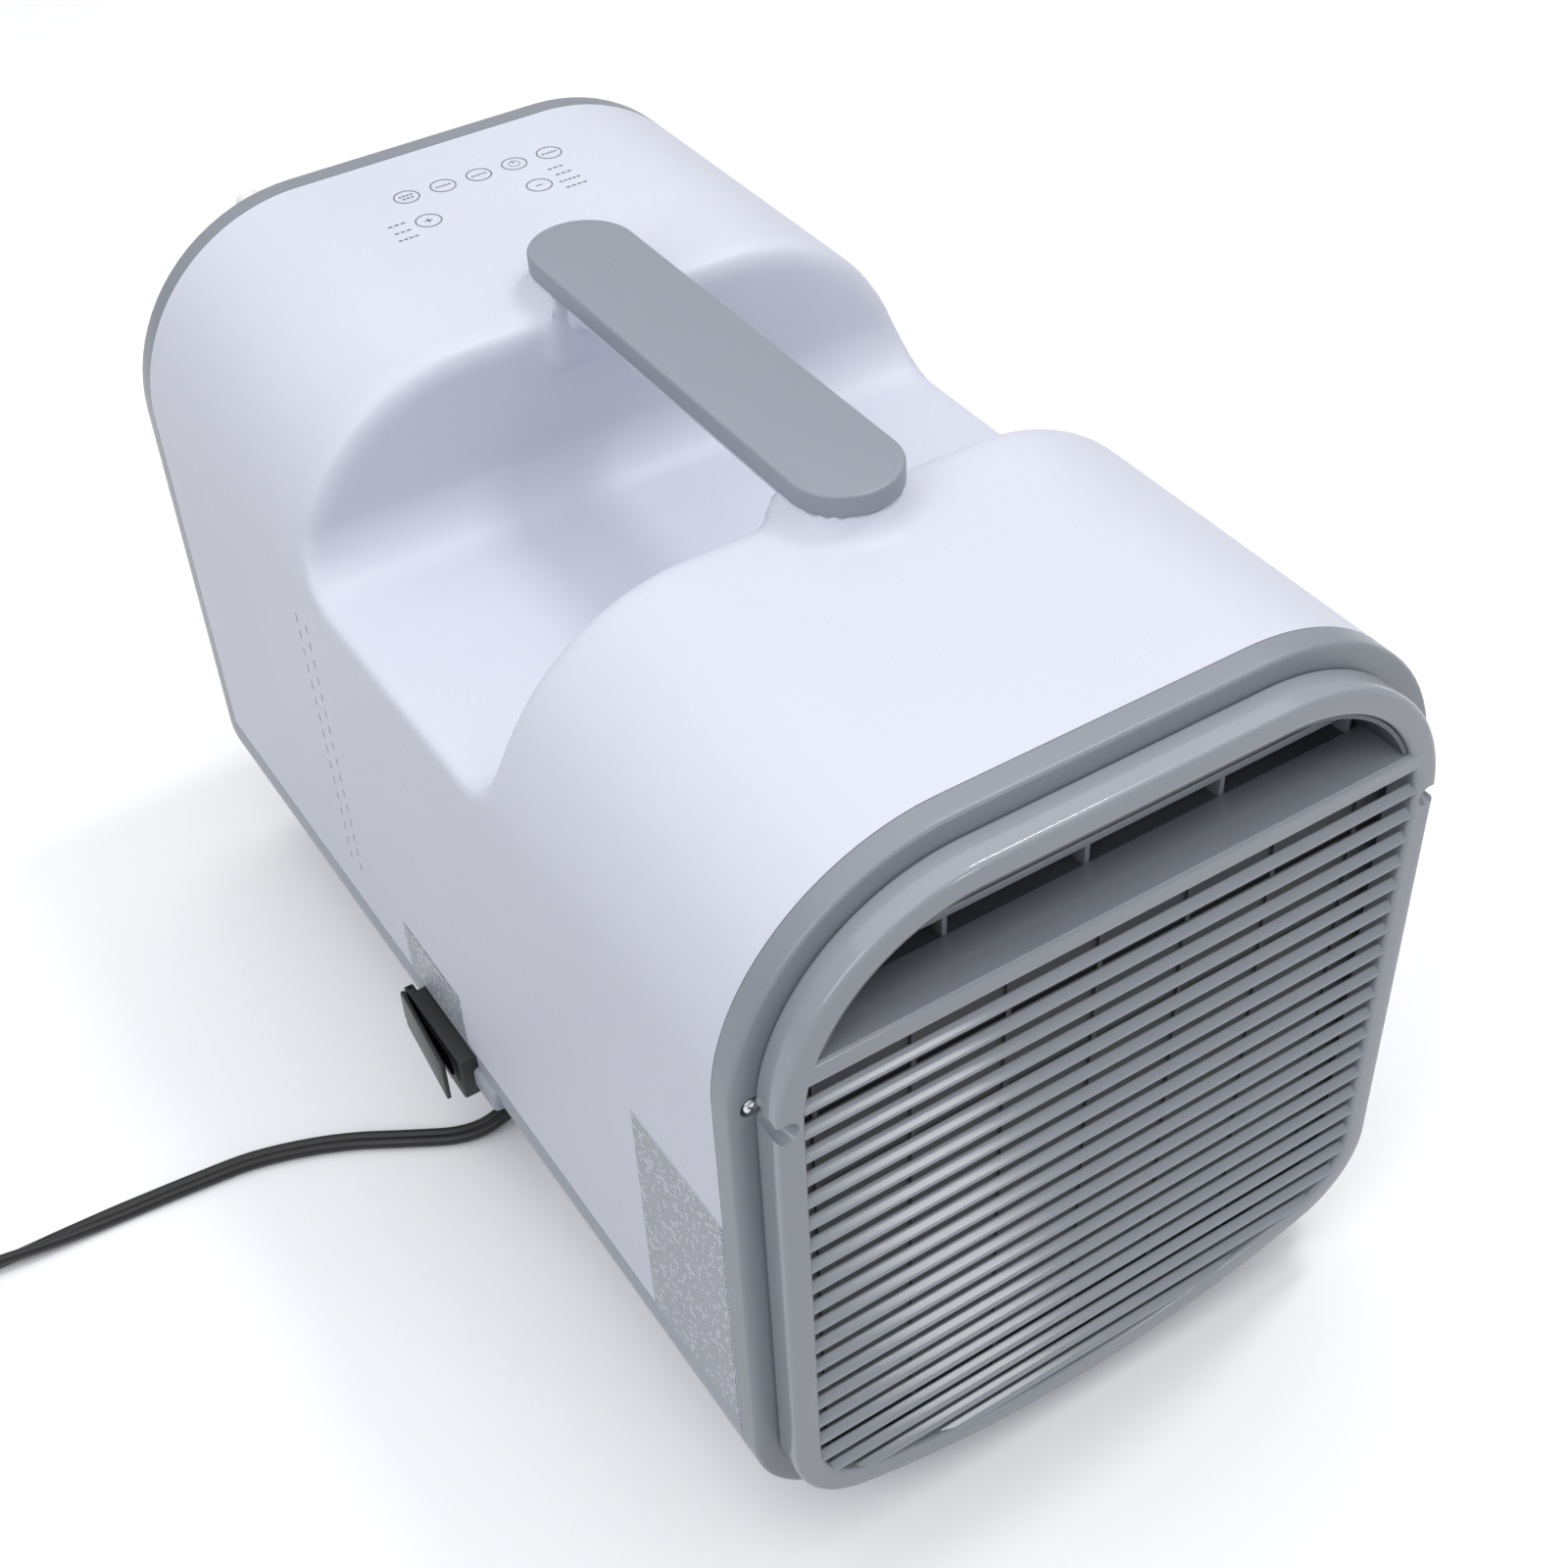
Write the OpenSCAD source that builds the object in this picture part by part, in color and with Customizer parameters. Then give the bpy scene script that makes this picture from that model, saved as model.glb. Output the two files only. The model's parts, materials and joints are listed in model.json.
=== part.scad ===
/* [Body] */
// Width of the body across its sides
body_w = 290; // [270:1:350]
// Length of the white shell from front ring to rear ring
shell_len = 475; // [440:1:570]
// Height of the shell from its lower edge to its top
shell_h = 262; // [240:1:310]
// Radius of the two upper long edges
corner_r = 85; // [70:1:100]
// Radius of the two lower long edges
belly_corner_r = 50; // [40:1:60]
// Radius of the bowed underside
belly_r = 354; // [320:1:420]
// Height of the straight side of the base tray under the shell
base_side = 5; // [3:1:12]
// Wall thickness of shell and tray
wall = 3; // [2.5:0.1:4]
// Gap between the underside and the floor
floor_gap = 8; // [7:0.5:14]

/* [Rings and panels] */
// Depth of the front and rear rings
ring_d = 10; // [8:0.5:14]
// Width of the ring face that shows round a panel
ring_face = 9; // [7:0.5:12]
// Depth of the front panel in front of its ring
panel_d = 14; // [12:0.5:20]
// Width of the plain rim round the front panel
rim_w = 10.5; // [9:0.5:16]
// Thickness of the panel's own walls
panel_t = 2.5; // [2:0.1:3.5]
// Height of the outlet's lower lip under the body's top
outlet_drop = 59.5; // [50:0.5:70]
// Plain strip between the outlet and the first louvre
strip_h = 9; // [5:0.5:12]
// Distance from one louvre to the next
louvre_pitch = 11.45; // [9:0.05:14]
// Thickness of a louvre blade
louvre_t = 1.8; // [1.4:0.1:2.4]
// Depth of a louvre blade from face to back
louvre_d = 9; // [6:0.5:12]
// Distance between the upright bars in the outlet
outlet_bar_pitch = 57; // [30:1:58]

/* [Hand space and handle] */
// Distance from the front ring to the hand space
scoop_front = 150; // [146:1:170]
// Length of the hand space
scoop_len = 161; // [150:1:193]
// Depth of the hand space under the body's top
scoop_depth = 78; // [70:1:84]
// Fillet at the floor of the hand space
scoop_r = 24; // [12:1:30]
// Length of the grip plate
grip_len = 228; // [220:1:260]
// Width of the grip plate
grip_w = 44; // [36:1:50]
// Thickness of the grip plate
grip_t = 9; // [6:0.5:12]
// Height of the grip's top over the body's top
grip_rise = 18.5; // [16:0.5:24]
// Thickness of the bridge that carries the grip plate
bridge_t = 13; // [10:0.5:16]

/* [Power inlet] */
// Length of the inlet housing along the body
inlet_len = 50; // [46:1:60]
// Height of the inlet housing
inlet_h = 22; // [20:0.5:26]
// How far the housing stands out of the side
inlet_out = 8; // [6:0.5:10]
// Distance from the front ring to the housing's near end
inlet_y = 212; // [205:1:225]
// Radius of the flap's hinge pin
flap_pin_r = 1.2; // [1:0.1:1.6]
// Thickness of the flap
flap_t = 2; // [1.6:0.1:2.6]
// Angle at which the flap stands open
flap_open = 5; // [3:1:9]

/* [Machine inside] */
// Height of the chassis plate over the floor
chassis_z = 40; // [38:0.5:44]
// Radius of the compressor's body
compressor_r = 46; // [40:1:55]
// Height of the compressor's body
compressor_h = 125; // [100:1:140]
// Radius of the condenser fan
fan_r = 86; // [70:1:90]
// Number of condenser fan blades
fan_blades = 5; // [3:1:7]
// Radius of the blower wheel
blower_r = 34; // [28:1:35]
// Length of the blower wheel
blower_len = 170; // [140:1:176]
// Number of blower blades
blower_blades = 24; // [16:1:32]
// Radius of both fan shafts
shaft_r = 4; // [3:0.5:5]
// Thickness of both heat exchangers
coil_t = 32; // [24:1:34]
// Radius of the refrigerant pipes
pipe_r = 4; // [3:0.5:5]
// Outside radius of the drain hose and its spout
drain_r = 6; // [5:0.5:7]

/* [Rear] */
// Outside radius of the exhaust collar
collar_r = 62; // [50:1:70]
// How far the exhaust collar stands out of the rear panel
collar_len = 30; // [20:1:40]
// Distance between the rear panel's slots
rear_slot_pitch = 12; // [10:0.5:16]

/* [Cord] */
// Width of the flat twin cord
cord_w = 9; // [8:0.1:10]
// Thickness of the flat twin cord
cord_t = 4.8; // [4.4:0.1:5.4]

/* [Hidden] */

// Facets of large and of small round shapes
fine = 128;
round = 48;
// Gap that keeps neighbouring pieces apart, and the gap round a turning shaft
gap = 0.4;
shaft_gap = 0.05;
// A cut runs this far past the face that it opens
past = 1;

// Heights over the floor
belly_cx = body_w/2 - belly_corner_r;
belly_rise = sqrt(pow(belly_r - belly_corner_r, 2) - belly_cx*belly_cx);
corner_z = floor_gap + belly_r - belly_rise;
shell_z = corner_z + base_side;
top_z = shell_z + shell_h;
half_w = body_w/2;
panel_front = -(ring_d + panel_d);
rear_face = shell_len + ring_d;
outlet_z = top_z - outlet_drop;
scoop_z = top_z - scoop_depth;
scoop_back = scoop_front + scoop_len;
grip_mid = (scoop_front + scoop_back)/2 + 2;
grip_z = top_z + grip_rise - grip_t;
chassis_t = 2;
deck_z = chassis_z + chassis_t;

// The chassis plate is as wide as the tray's rounded lower edges leave room for
deck_edge = 6.2;
tray_corner_r = belly_corner_r - wall;
deck_w = 2*(belly_cx + sqrt(pow(tray_corner_r, 2) - pow(corner_z - chassis_z, 2)) - deck_edge);

// The inlet: its housing, its hinge line and how far its open flap reaches
inlet_top = shell_z - 2;
inlet_face = -half_w - inlet_out;
ear_r = flap_pin_r + 1;
ear_h = 3;
hinge_x = inlet_face + ear_r;
hinge_y = inlet_y + inlet_len + ear_r + gap;
flap_reach = inlet_len - 1;
flap_back = ear_r + gap;
flap_tip_x = hinge_x - flap_reach*sin(flap_open) - (flap_back + flap_t)*cos(flap_open);

// The whole object without its cord is centred on the origin
origin_x = -(flap_tip_x + half_w)/2;
origin_y = -(panel_front + rear_face + collar_len)/2;

// White plastic, greys, metals and rubber
shell_white = "#dfe2ea";
case_grey = "#9ba0aa";
dark_grey = "#55575c";
steel = "#b4b8bd";
copper = "#b87333";
black = "#1c1c1e";
board_green = "#2f6b3f";

module place() translate([origin_x, origin_y, 0]) children();

// Extrudes an x-z outline from y0 to y1
module along_y(y0, y1) translate([0, y1, 0]) rotate([90, 0, 0]) linear_extrude(y1 - y0) children();

// Extrudes a y-z outline from x0 to x1
module along_x(x0, x1)
  translate([x0, 0, 0]) rotate([90, 0, 90]) linear_extrude(x1 - x0) children();

// The body's section, drawn in x and z and set in by a distance
module body_outline(in = 0) {
  top_cx = half_w - corner_r;
  tangent_x = (belly_r - in)*belly_cx/(belly_r - belly_corner_r);
  for (side = [-1, 1]) {
    translate([side*top_cx, top_z - corner_r]) circle(corner_r - in, $fn = fine);
    translate([side*belly_cx, corner_z]) circle(belly_corner_r - in, $fn = fine);
  }
  translate([-top_cx, corner_z]) square([2*top_cx, top_z - in - corner_z]);
  translate([in - half_w, corner_z]) square([body_w - 2*in, top_z - corner_r - corner_z]);
  intersection() {
    translate([0, corner_z + belly_rise]) circle(belly_r - in, $fn = 2*fine);
    translate([-tangent_x, corner_z - belly_r]) square([2*tangent_x, belly_r]);
  }
}

// The part of the section above a height
module outline_above(in, z) intersection() {
  body_outline(in);
  translate([-body_w, z]) square([2*body_w, top_z]);
}

// The part of the section below a height
module outline_below(in, z) intersection() {
  body_outline(in);
  translate([-body_w, z - 2*top_z]) square([2*body_w, 2*top_z]);
}

// The hand space from the side, drawn in y and z and grown by a distance
module scoop_outline(grow = 0) {
  r = scoop_r + grow;
  for (y = [scoop_front + scoop_r, scoop_back - scoop_r])
    translate([y, scoop_z + scoop_r]) circle(r, $fn = fine);
  translate([scoop_front + scoop_r, scoop_z - grow])
    square([scoop_len - 2*scoop_r, scoop_depth + grow + past]);
  translate([scoop_front - grow, scoop_z + scoop_r])
    square([scoop_len + 2*grow, scoop_depth - scoop_r + past]);
}

// A flat bar with round ends that lies along y
module stadium(len, w) {
  for (side = [-1, 1]) translate([0, side*(len - w)/2]) circle(w/2, $fn = round);
  square([w, len - w], center = true);
}

// A round bar from one point to another
module rod(a, b, r) {
  d = b - a;
  translate(a) rotate([0, acos(d.z/norm(d)), atan2(d.y, d.x)]) cylinder(h = norm(d), r = r, $fn = round/2);
}

// A pipe through a list of points, with a slightly swollen elbow at each bend
module pipe(points, r) {
  for (i = [0:len(points) - 2]) rod(points[i], points[i + 1], r);
  for (i = [1:len(points) - 2]) translate(points[i]) sphere(1.1*r, $fn = round/2);
}

// A cord or hose of oval section, as one polyhedron swept along a route that is nowhere upright
module sweep(route, w, t, sides = 10) {
  n = len(route);
  rings = [for (i = [0:n - 1]) let (
      d = route[min(i + 1, n - 1)] - route[max(i - 1, 0)],
      across = [-d.y, d.x, 0]/norm([d.x, d.y]),
      up = cross(d, across)/norm(cross(d, across)))
    for (s = [0:sides - 1]) let (a = s*360/sides) route[i] + across*cos(a)*w/2 + up*sin(a)*t/2];
  faces = concat(
    [[for (s = [0:sides - 1]) s]],
    [for (i = [0:n - 2], s = [0:sides - 1]) let (t = (s + 1)%sides)
      each [[i*sides + s, (i + 1)*sides + s, (i + 1)*sides + t],
        [i*sides + s, (i + 1)*sides + t, i*sides + t]]],
    [[for (s = [sides - 1:-1:0]) (n - 1)*sides + s]]);
  polyhedron(rings, faces);
}

// A cylinder along x or along y
module x_cyl(x0, x1, y, z, r)
  translate([x0, y, z]) rotate([0, 90, 0]) cylinder(h = x1 - x0, r = r, $fn = round);
module y_cyl(x, y0, y1, z, r)
  translate([x, y1, z]) rotate([90, 0, 0]) cylinder(h = y1 - y0, r = r, $fn = round);

// ---- outside ----

slot_rows = 16;
slot_pitch = 8.9;
slot_w = 1.2;
slot_h = 4.5;
slot_y = [scoop_back + 5, scoop_back + 15];

// White outer shell: sides, top, hand space and the bridge under the grip
module shell() color(shell_white) place() {
  difference() {
    union() {
      along_y(0, shell_len) difference() {
        outline_above(0, shell_z);
        body_outline(wall);
      }
      intersection() {
        along_x(-half_w, half_w) scoop_outline(wall);
        along_y(0, shell_len) outline_above(0, shell_z);
      }
    }
    along_x(-half_w - past, half_w + past) scoop_outline();
    for (row = [0:slot_rows - 1], y = slot_y)
      translate([-half_w - past, y, shell_z + 24 + row*slot_pitch]) cube([wall + 2*past, slot_w, slot_h]);
  }
  bridge();
}

grip_screw_r = 1.8;
grip_screw_y = scoop_len/3;
bridge_w = grip_w - 16;
bridge_root = (grip_len - scoop_len)/2 - 3;

// Bridge under the grip plate: a narrow bar over the hand space, and a full-width neck on each block
module bridge() difference() {
  union() {
    translate([0, grip_mid, grip_z - bridge_t]) linear_extrude(bridge_t)
      stadium(scoop_len + 2*bridge_root, bridge_w);
    intersection() {
      translate([0, grip_mid, top_z - wall/2]) linear_extrude(grip_z - top_z + wall/2)
        stadium(grip_len - 2, grip_w - 2);
      for (y = [scoop_front - 2*grip_len, scoop_back]) translate([-half_w, y, top_z - wall])
        cube([body_w, 2*grip_len, 2*bridge_t]);
    }
  }
  for (y = [scoop_front - wall - 2*grip_len, scoop_back + wall])
    translate([-half_w, y, grip_z - bridge_t - past])
      cube([body_w, 2*grip_len, bridge_t + past - (grip_z - top_z) - wall/2]);
  for (side = [-1, 1]) translate([0, grip_mid + side*grip_screw_y, grip_z - bridge_t - past])
    cylinder(h = bridge_t + 2*past, r = grip_screw_r + 0.2, $fn = round);
}

foot_pad = 9;
foot_r = 13;
foot_screw_r = 2;
foot_pilot = 8;
foot_recess = 5;
foot_x = 90;
foot_y = [42, shell_len - 42];
rib_y = [30, 175, 300, shell_len - 30];
gland_y = 234;
gland_x = 78;
gland_z = 10;
bulge = [inlet_y - 18, inlet_top - 18, 24, 12];

// Grey base tray with cross ribs, foot seats and the cord's boss
module base_tray() color(case_grey) place() difference() {
  union() {
    along_y(0, shell_len) difference() {
      outline_below(0, shell_z);
      body_outline(wall);
    }
    for (y = rib_y) along_y(y, y + wall) outline_below(wall/2, chassis_z);
    translate([-half_w - 2.2, bulge[0], bulge[1]]) cube([4, bulge[2], bulge[3]]);
    difference() {
      union() {
        for (x = [-foot_x, foot_x], y = foot_y)
          translate([x, y, foot_pad]) cylinder(h = 20, r = foot_r + 2, $fn = round);
        translate([-gland_x - 8, gland_y - 10, 4]) cube([16, 20, 20]);
      }
      along_y(-past, shell_len + past) body_outline(wall/2);
    }
  }
  for (x = [-foot_x, foot_x], y = foot_y)
    translate([x, y, foot_pad - past]) cylinder(h = foot_pilot + past, r = foot_screw_r + 0.1, $fn = round);
  translate([inlet_face, inlet_y - gap, inlet_top - inlet_h - gap])
    cube([inlet_out + inlet_deep + gap, inlet_len + 2*gap, inlet_h + 2*gap]);
}

ring_seat = ring_face + 5;
screw_x = half_w - ring_face + 0.5;
screw_z = shell_z + 182;
notch_r = 4.4;

// Grey front ring, which closes the shell's front edge and carries the panel
module front_ring() color(case_grey) place() difference() {
  union() {
    along_y(-ring_d, 0) body_outline();
    along_y(0, ring_d) body_outline(wall + gap);
  }
  along_y(-ring_d - past, ring_d + past) body_outline(ring_seat);
  for (side = [-1, 1]) y_cyl(side*screw_x, -ring_d - past, past, screw_z, 1.7);
}

// Grey rear ring with a seat for the rear panel
rear_seat = rear_face - 4;
module rear_ring() color(case_grey) place() difference() {
  union() {
    along_y(shell_len, rear_face) body_outline();
    along_y(shell_len - ring_d, shell_len) body_outline(wall + gap);
  }
  along_y(shell_len - ring_d - past, rear_face) body_outline(ring_seat);
  along_y(rear_seat, rear_face + past) body_outline(ring_face);
  y_cyl(spout_x, shell_len - ring_d - past, rear_seat + past, spout_z, spout_flange_r + gap);
}

// Window of the louvres, between the bowed lower rim and the strip under the outlet
louvre_top = outlet_z - strip_h;
module louvre_window() outline_below(ring_face + rim_w, louvre_top);

// Grey front panel: rim, outlet opening and slanted louvre blades in one moulding
module front_panel() color(case_grey) place() {
  difference() {
    along_y(panel_front, -ring_d) body_outline(ring_face);
    along_y(panel_front - past, -ring_d + past) {
      outline_above(ring_face + rim_w, outlet_z);
      louvre_window();
    }
    along_y(panel_front + panel_t, -ring_d + past) body_outline(ring_face + panel_t);
    for (side = [-1, 1]) y_cyl(side*screw_x, panel_front - past, -ring_d + past, screw_z, notch_r);
  }
  along_y(panel_front + panel_t, -ring_d) difference() {
    body_outline(ring_face + rim_w - panel_t);
    body_outline(ring_face + rim_w);
    translate([-body_w, louvre_top]) square([2*body_w, body_w]);
    for (side = [-1, 1]) translate([side*screw_x, screw_z]) circle(notch_r, $fn = round);
  }
  intersection() {
    along_x(-half_w, half_w)
      for (z = [louvre_top - louvre_pitch:-louvre_pitch:floor_gap]) louvre_section(z);
    along_y(panel_front, -ring_d) blade_window();
  }
}

// The window and a little of its frame, so that each blade is rooted at both ends
module blade_window() outline_below(ring_face + rim_w - panel_t/2, louvre_top + past);

// One blade from the side: its lower edge is in front and it rises to the back
module louvre_section(z) polygon([
  [panel_front, z + 1.5], [panel_front + louvre_t, z], [panel_front + louvre_d, z + louvre_pitch*0.78],
  [panel_front + louvre_d - louvre_t, z + louvre_pitch*0.92]]);

duct_in = ring_face + rim_w - 0.5;
duct_t = 2;
duct_back = 30;
bar_t = 2.2;
bar_lift = 9.5;
bar_h = 3.3;

// Air duct behind the outlet, with its sloping floor, a cross bar and upright bars
module outlet_duct() color(dark_grey) place() {
  along_y(panel_front + panel_t, duct_back) difference() {
    outline_above(duct_in + gap, outlet_z - 8);
    outline_above(duct_in + gap + duct_t, outlet_z - 8 - past);
  }
  intersection() {
    along_x(-half_w, half_w) polygon([[panel_front + panel_t, outlet_z - duct_t],
      [panel_front + panel_t, outlet_z], [0, outlet_z - 3], [duct_back, outlet_z - 6],
      [duct_back, outlet_z - 6 - duct_t], [0, outlet_z - 3 - duct_t]]);
    along_y(panel_front, duct_back) body_outline(duct_in + gap + duct_t/2);
  }
  intersection() {
    union() {
      for (i = [-2:2])
        translate([i*outlet_bar_pitch - bar_t/2, -3, outlet_z - 4]) cube([bar_t, 8, outlet_drop]);
      translate([-half_w, -3, outlet_z + bar_lift]) cube([body_w, 3, bar_h]);
    }
    along_y(panel_front, duct_back) outline_above(duct_in + gap + duct_t/2, outlet_z - 4);
  }
}

// Two pan-head screws that hold the front panel's clips to the ring
module panel_screws() color(steel) place() for (side = [-1, 1]) {
  y_cyl(side*screw_x, -ring_d - 2.5, -ring_d, screw_z, 3.6);
  y_cyl(side*screw_x, -ring_d, -ring_d + 9, screw_z, 1.6);
}

filter_t = 3;
mesh_pitch = 38;
mesh_bar = 2;

// Washable air filter: a frame that fits the ring's opening and a net of bars
module air_filter() color(dark_grey) place() along_y(-ring_d, filter_t - ring_d) {
  difference() {
    filter_outline(0);
    filter_outline(5);
  }
  intersection() {
    filter_outline(4);
    union() {
      for (x = [0:mesh_pitch:half_w], side = [-1, 1])
        translate([side*x - mesh_bar/2, 0]) square([mesh_bar, top_z]);
      for (z = [floor_gap:mesh_pitch:louvre_top]) translate([-half_w, z]) square([body_w, mesh_bar]);
    }
  }
}
module filter_outline(in) outline_below(ring_seat + gap + in, louvre_top - 2 - in);

// Grey plate with round ends on top of the bridge
module handle_grip() color("#a2a6b2") place() difference() {
  translate([0, grip_mid, grip_z]) linear_extrude(grip_t) stadium(grip_len, grip_w);
  for (side = [-1, 1]) translate([0, grip_mid + side*grip_screw_y, grip_z - past])
    cylinder(h = grip_t/2 + past, r = grip_screw_r + 0.1, $fn = round);
}

// Screws driven up through the bridge into the grip plate
module handle_screws() color(steel) place() for (side = [-1, 1])
  translate([0, grip_mid + side*grip_screw_y, grip_z - bridge_t]) {
    translate([0, 0, -2]) cylinder(h = 2, r = 2*grip_screw_r, $fn = round);
    cylinder(h = bridge_t + grip_t/2 - gap, r = grip_screw_r, $fn = round);
  }

board_t = 1.6;

// Circuit board with the touch fields, under the top of the rear block
module touch_board() color(board_green) place() {
  board_z = top_z - wall - board_t;
  translate([-38, shell_len - 75, board_z]) cube([94, 52, board_t]);
  translate([-10, shell_len - 59, board_z - 5]) cube([20, 14, 5]);
}

label_t = 0.3;

// Self-adhesive labels on the left side
module rating_label() color("#c9cbd2") place()
  translate([-half_w - label_t, 1, shell_z + 1]) cube([label_t, 60, 113]);
module voltage_label() color("#c9cbd2") place()
  translate([-half_w - label_t, 219, shell_z + 1]) cube([label_t, 53, 28]);

// ---- power inlet ----

recess_len = 34;
recess_h = 13;
inlet_deep = 10;
inlet_depth = inlet_out + inlet_deep;
inlet_mid_y = inlet_y + inlet_len/2;
inlet_mid_z = inlet_top - inlet_h/2;

// Black inlet housing with a round-ended recess and two ears for the flap's pin
module inlet_socket() color(black) place() {
  difference() {
    translate([inlet_face, inlet_y, inlet_top - inlet_h]) cube([inlet_depth, inlet_len, inlet_h]);
    translate([inlet_face - past, inlet_mid_y, inlet_mid_z]) rotate([90, 0, 90])
      linear_extrude(inlet_depth - 3 + past) rotate(90) stadium(recess_len, recess_h);
  }
  for (z = [inlet_top - ear_h, inlet_top - inlet_h]) difference() {
    union() {
      translate([hinge_x, hinge_y, z]) cylinder(h = ear_h, r = ear_r, $fn = round);
      translate([inlet_face, inlet_y + inlet_len - past, z]) cube([2*ear_r, ear_r + gap + past, ear_h]);
    }
    translate([hinge_x, hinge_y, z - past]) cylinder(h = ear_h + 2*past, r = flap_pin_r, $fn = round);
  }
}

// Two brass blades inside the recess
module inlet_contacts() color("#c9a24a") place() for (side = [-1, 1])
  translate([inlet_face + 6, inlet_mid_y + side*8 - 3, inlet_mid_z - 0.8]) cube([inlet_depth - 9, 6, 1.6]);

// Steel hinge pin, held in the housing's ears
module flap_pin() color(steel) place() translate([hinge_x, hinge_y, inlet_top - inlet_h])
  cylinder(h = inlet_h, r = flap_pin_r, $fn = round);

// Hinged cover over the recess, drawn at the angle where it stands
module inlet_flap() color(black) place() translate([hinge_x, hinge_y, 0]) rotate([0, 0, -flap_open]) {
  knuckle_z = inlet_top - inlet_h + ear_h + gap;
  knuckle_h = inlet_h - 2*ear_h - 2*gap;
  difference() {
    union() {
      translate([0, 0, knuckle_z]) cylinder(h = knuckle_h, r = ear_r, $fn = round);
      translate([-flap_back - flap_t, -ear_r, knuckle_z]) cube([flap_back + flap_t, 2*ear_r, knuckle_h]);
      translate([-flap_back - flap_t, -flap_reach, inlet_top - inlet_h]) cube([flap_t, flap_reach, inlet_h]);
    }
    translate([0, 0, knuckle_z - past])
      cylinder(h = knuckle_h + 2*past, r = flap_pin_r + shaft_gap, $fn = round);
  }
}

// Lead from the inlet to the control box
box_d = 26;
box_x = deck_w/2 - box_d - 1;
lead_z = deck_z + 10;
lead_w = 6;
lead_x = inlet_face + inlet_depth;
lead_route = [[lead_x, inlet_mid_y, inlet_mid_z], [lead_x + 5, inlet_mid_y, inlet_mid_z],
  [lead_x + 11, inlet_mid_y + 4, 63], [lead_x + 18, 253, 60], [lead_x + 27, 266, 56],
  [lead_x + 39, 280, lead_z], [lead_x + 55, 288, lead_z], [0, 292, lead_z], [box_x, 292, lead_z]];
module inlet_harness() color(black) place() sweep(lead_route, lead_w, lead_w);

// ---- feet and screws ----

module feet() color(black) place() for (x = [-foot_x, foot_x], y = foot_y) difference() {
  translate([x, y, 0]) cylinder(h = foot_pad, r = foot_r, $fn = round);
  translate([x, y, -past]) cylinder(h = foot_recess + past, r = 5, $fn = round);
  translate([x, y, 0]) cylinder(h = foot_pad + past, r = foot_screw_r + 0.1, $fn = round);
}

// Screws that clamp the feet to the tray
module base_screws() color(steel) place() for (x = [-foot_x, foot_x], y = foot_y) translate([x, y, 0]) {
  translate([0, 0, foot_recess - 2.5]) cylinder(h = 2.5, r = 4, $fn = round);
  translate([0, 0, foot_recess])
    cylinder(h = foot_pad - foot_recess + foot_pilot - gap, r = foot_screw_r, $fn = round);
}

// ---- machine inside ----

// Galvanised plate that carries the machine
module chassis_plate() color(steel) place() difference() {
  translate([-deck_w/2, 16, chassis_z]) cube([deck_w, shell_len - 32, chassis_t]);
  for (p = mount_points)
    translate([p.x, p.y, chassis_z - past]) cylinder(h = chassis_t + 2*past, r = 3, $fn = round);
}

compressor_at = [-55, 205];
mount_ring = compressor_r + 5;
mount_points = [for (a = [90:120:330]) compressor_at + mount_ring*[cos(a), sin(a)]];
mount_h = 12;
foot_plate_z = deck_z + mount_h;
can_z = foot_plate_z + 3;
can_edge = 9;

// Rotary compressor: foot plate, welded can with rounded ends and terminal cover
module compressor() color(black) place() translate([compressor_at.x, compressor_at.y, 0]) {
  difference() {
    translate([0, 0, foot_plate_z]) cylinder(h = 3, r = mount_ring + 9, $fn = fine);
    for (a = [90:120:330]) rotate(a) translate([mount_ring, 0, foot_plate_z - past])
      cylinder(h = 3 + 2*past, r = 3, $fn = round);
  }
  translate([0, 0, can_z]) cylinder(h = compressor_h, r = compressor_r - can_edge, $fn = fine);
  translate([0, 0, can_z + can_edge]) cylinder(h = compressor_h - 2*can_edge, r = compressor_r, $fn = fine);
  for (z = [can_z + can_edge, can_z + compressor_h - can_edge]) translate([0, 0, z])
    rotate_extrude($fn = fine) translate([compressor_r - can_edge, 0]) circle(can_edge, $fn = round);
  translate([0, 0, can_z + compressor_h]) cylinder(h = 10, r = 14, $fn = round);
}

// Rubber mounts and their bolts
module compressor_mounts() color(black) place()
  for (p = mount_points) translate([p.x, p.y, deck_z]) difference() {
    cylinder(h = mount_h, r = 9, $fn = round);
    translate([0, 0, -past]) cylinder(h = mount_h + 2*past, r = 3, $fn = round);
  }
module compressor_bolts() color(steel) place() for (p = mount_points) translate([p.x, p.y, 0]) {
  translate([0, 0, chassis_z]) cylinder(h = chassis_t + mount_h + 3, r = 3, $fn = round);
  translate([0, 0, foot_plate_z + 3]) cylinder(h = 5, r = 5, $fn = 6);
}

can_r = 20;
can_gap = 5;
tank_at = compressor_at + [compressor_r + can_gap + can_r, 0];
tank_z = can_z + 22;

// Suction accumulator beside the compressor, and the bracket between them
module accumulator() color(black) place() translate([tank_at.x, tank_at.y, tank_z]) {
  cylinder(h = 80, r = can_r, $fn = fine);
  translate([0, 0, 80]) cylinder(h = 6, r = can_r - 6, $fn = round);
}
module accumulator_bracket() color(steel) place() difference() {
  translate([compressor_at.x + compressor_r - 2, compressor_at.y - 8, tank_z + 30])
    cube([can_gap + 4, 16, 18]);
  translate([compressor_at.x, compressor_at.y, 0]) cylinder(h = 400, r = compressor_r, $fn = fine);
  translate([tank_at.x, tank_at.y, 0]) cylinder(h = 400, r = can_r, $fn = fine);
}

blower_y = 78;
blower_z = top_z - 56;
exchanger_w = deck_w - 20;

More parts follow.
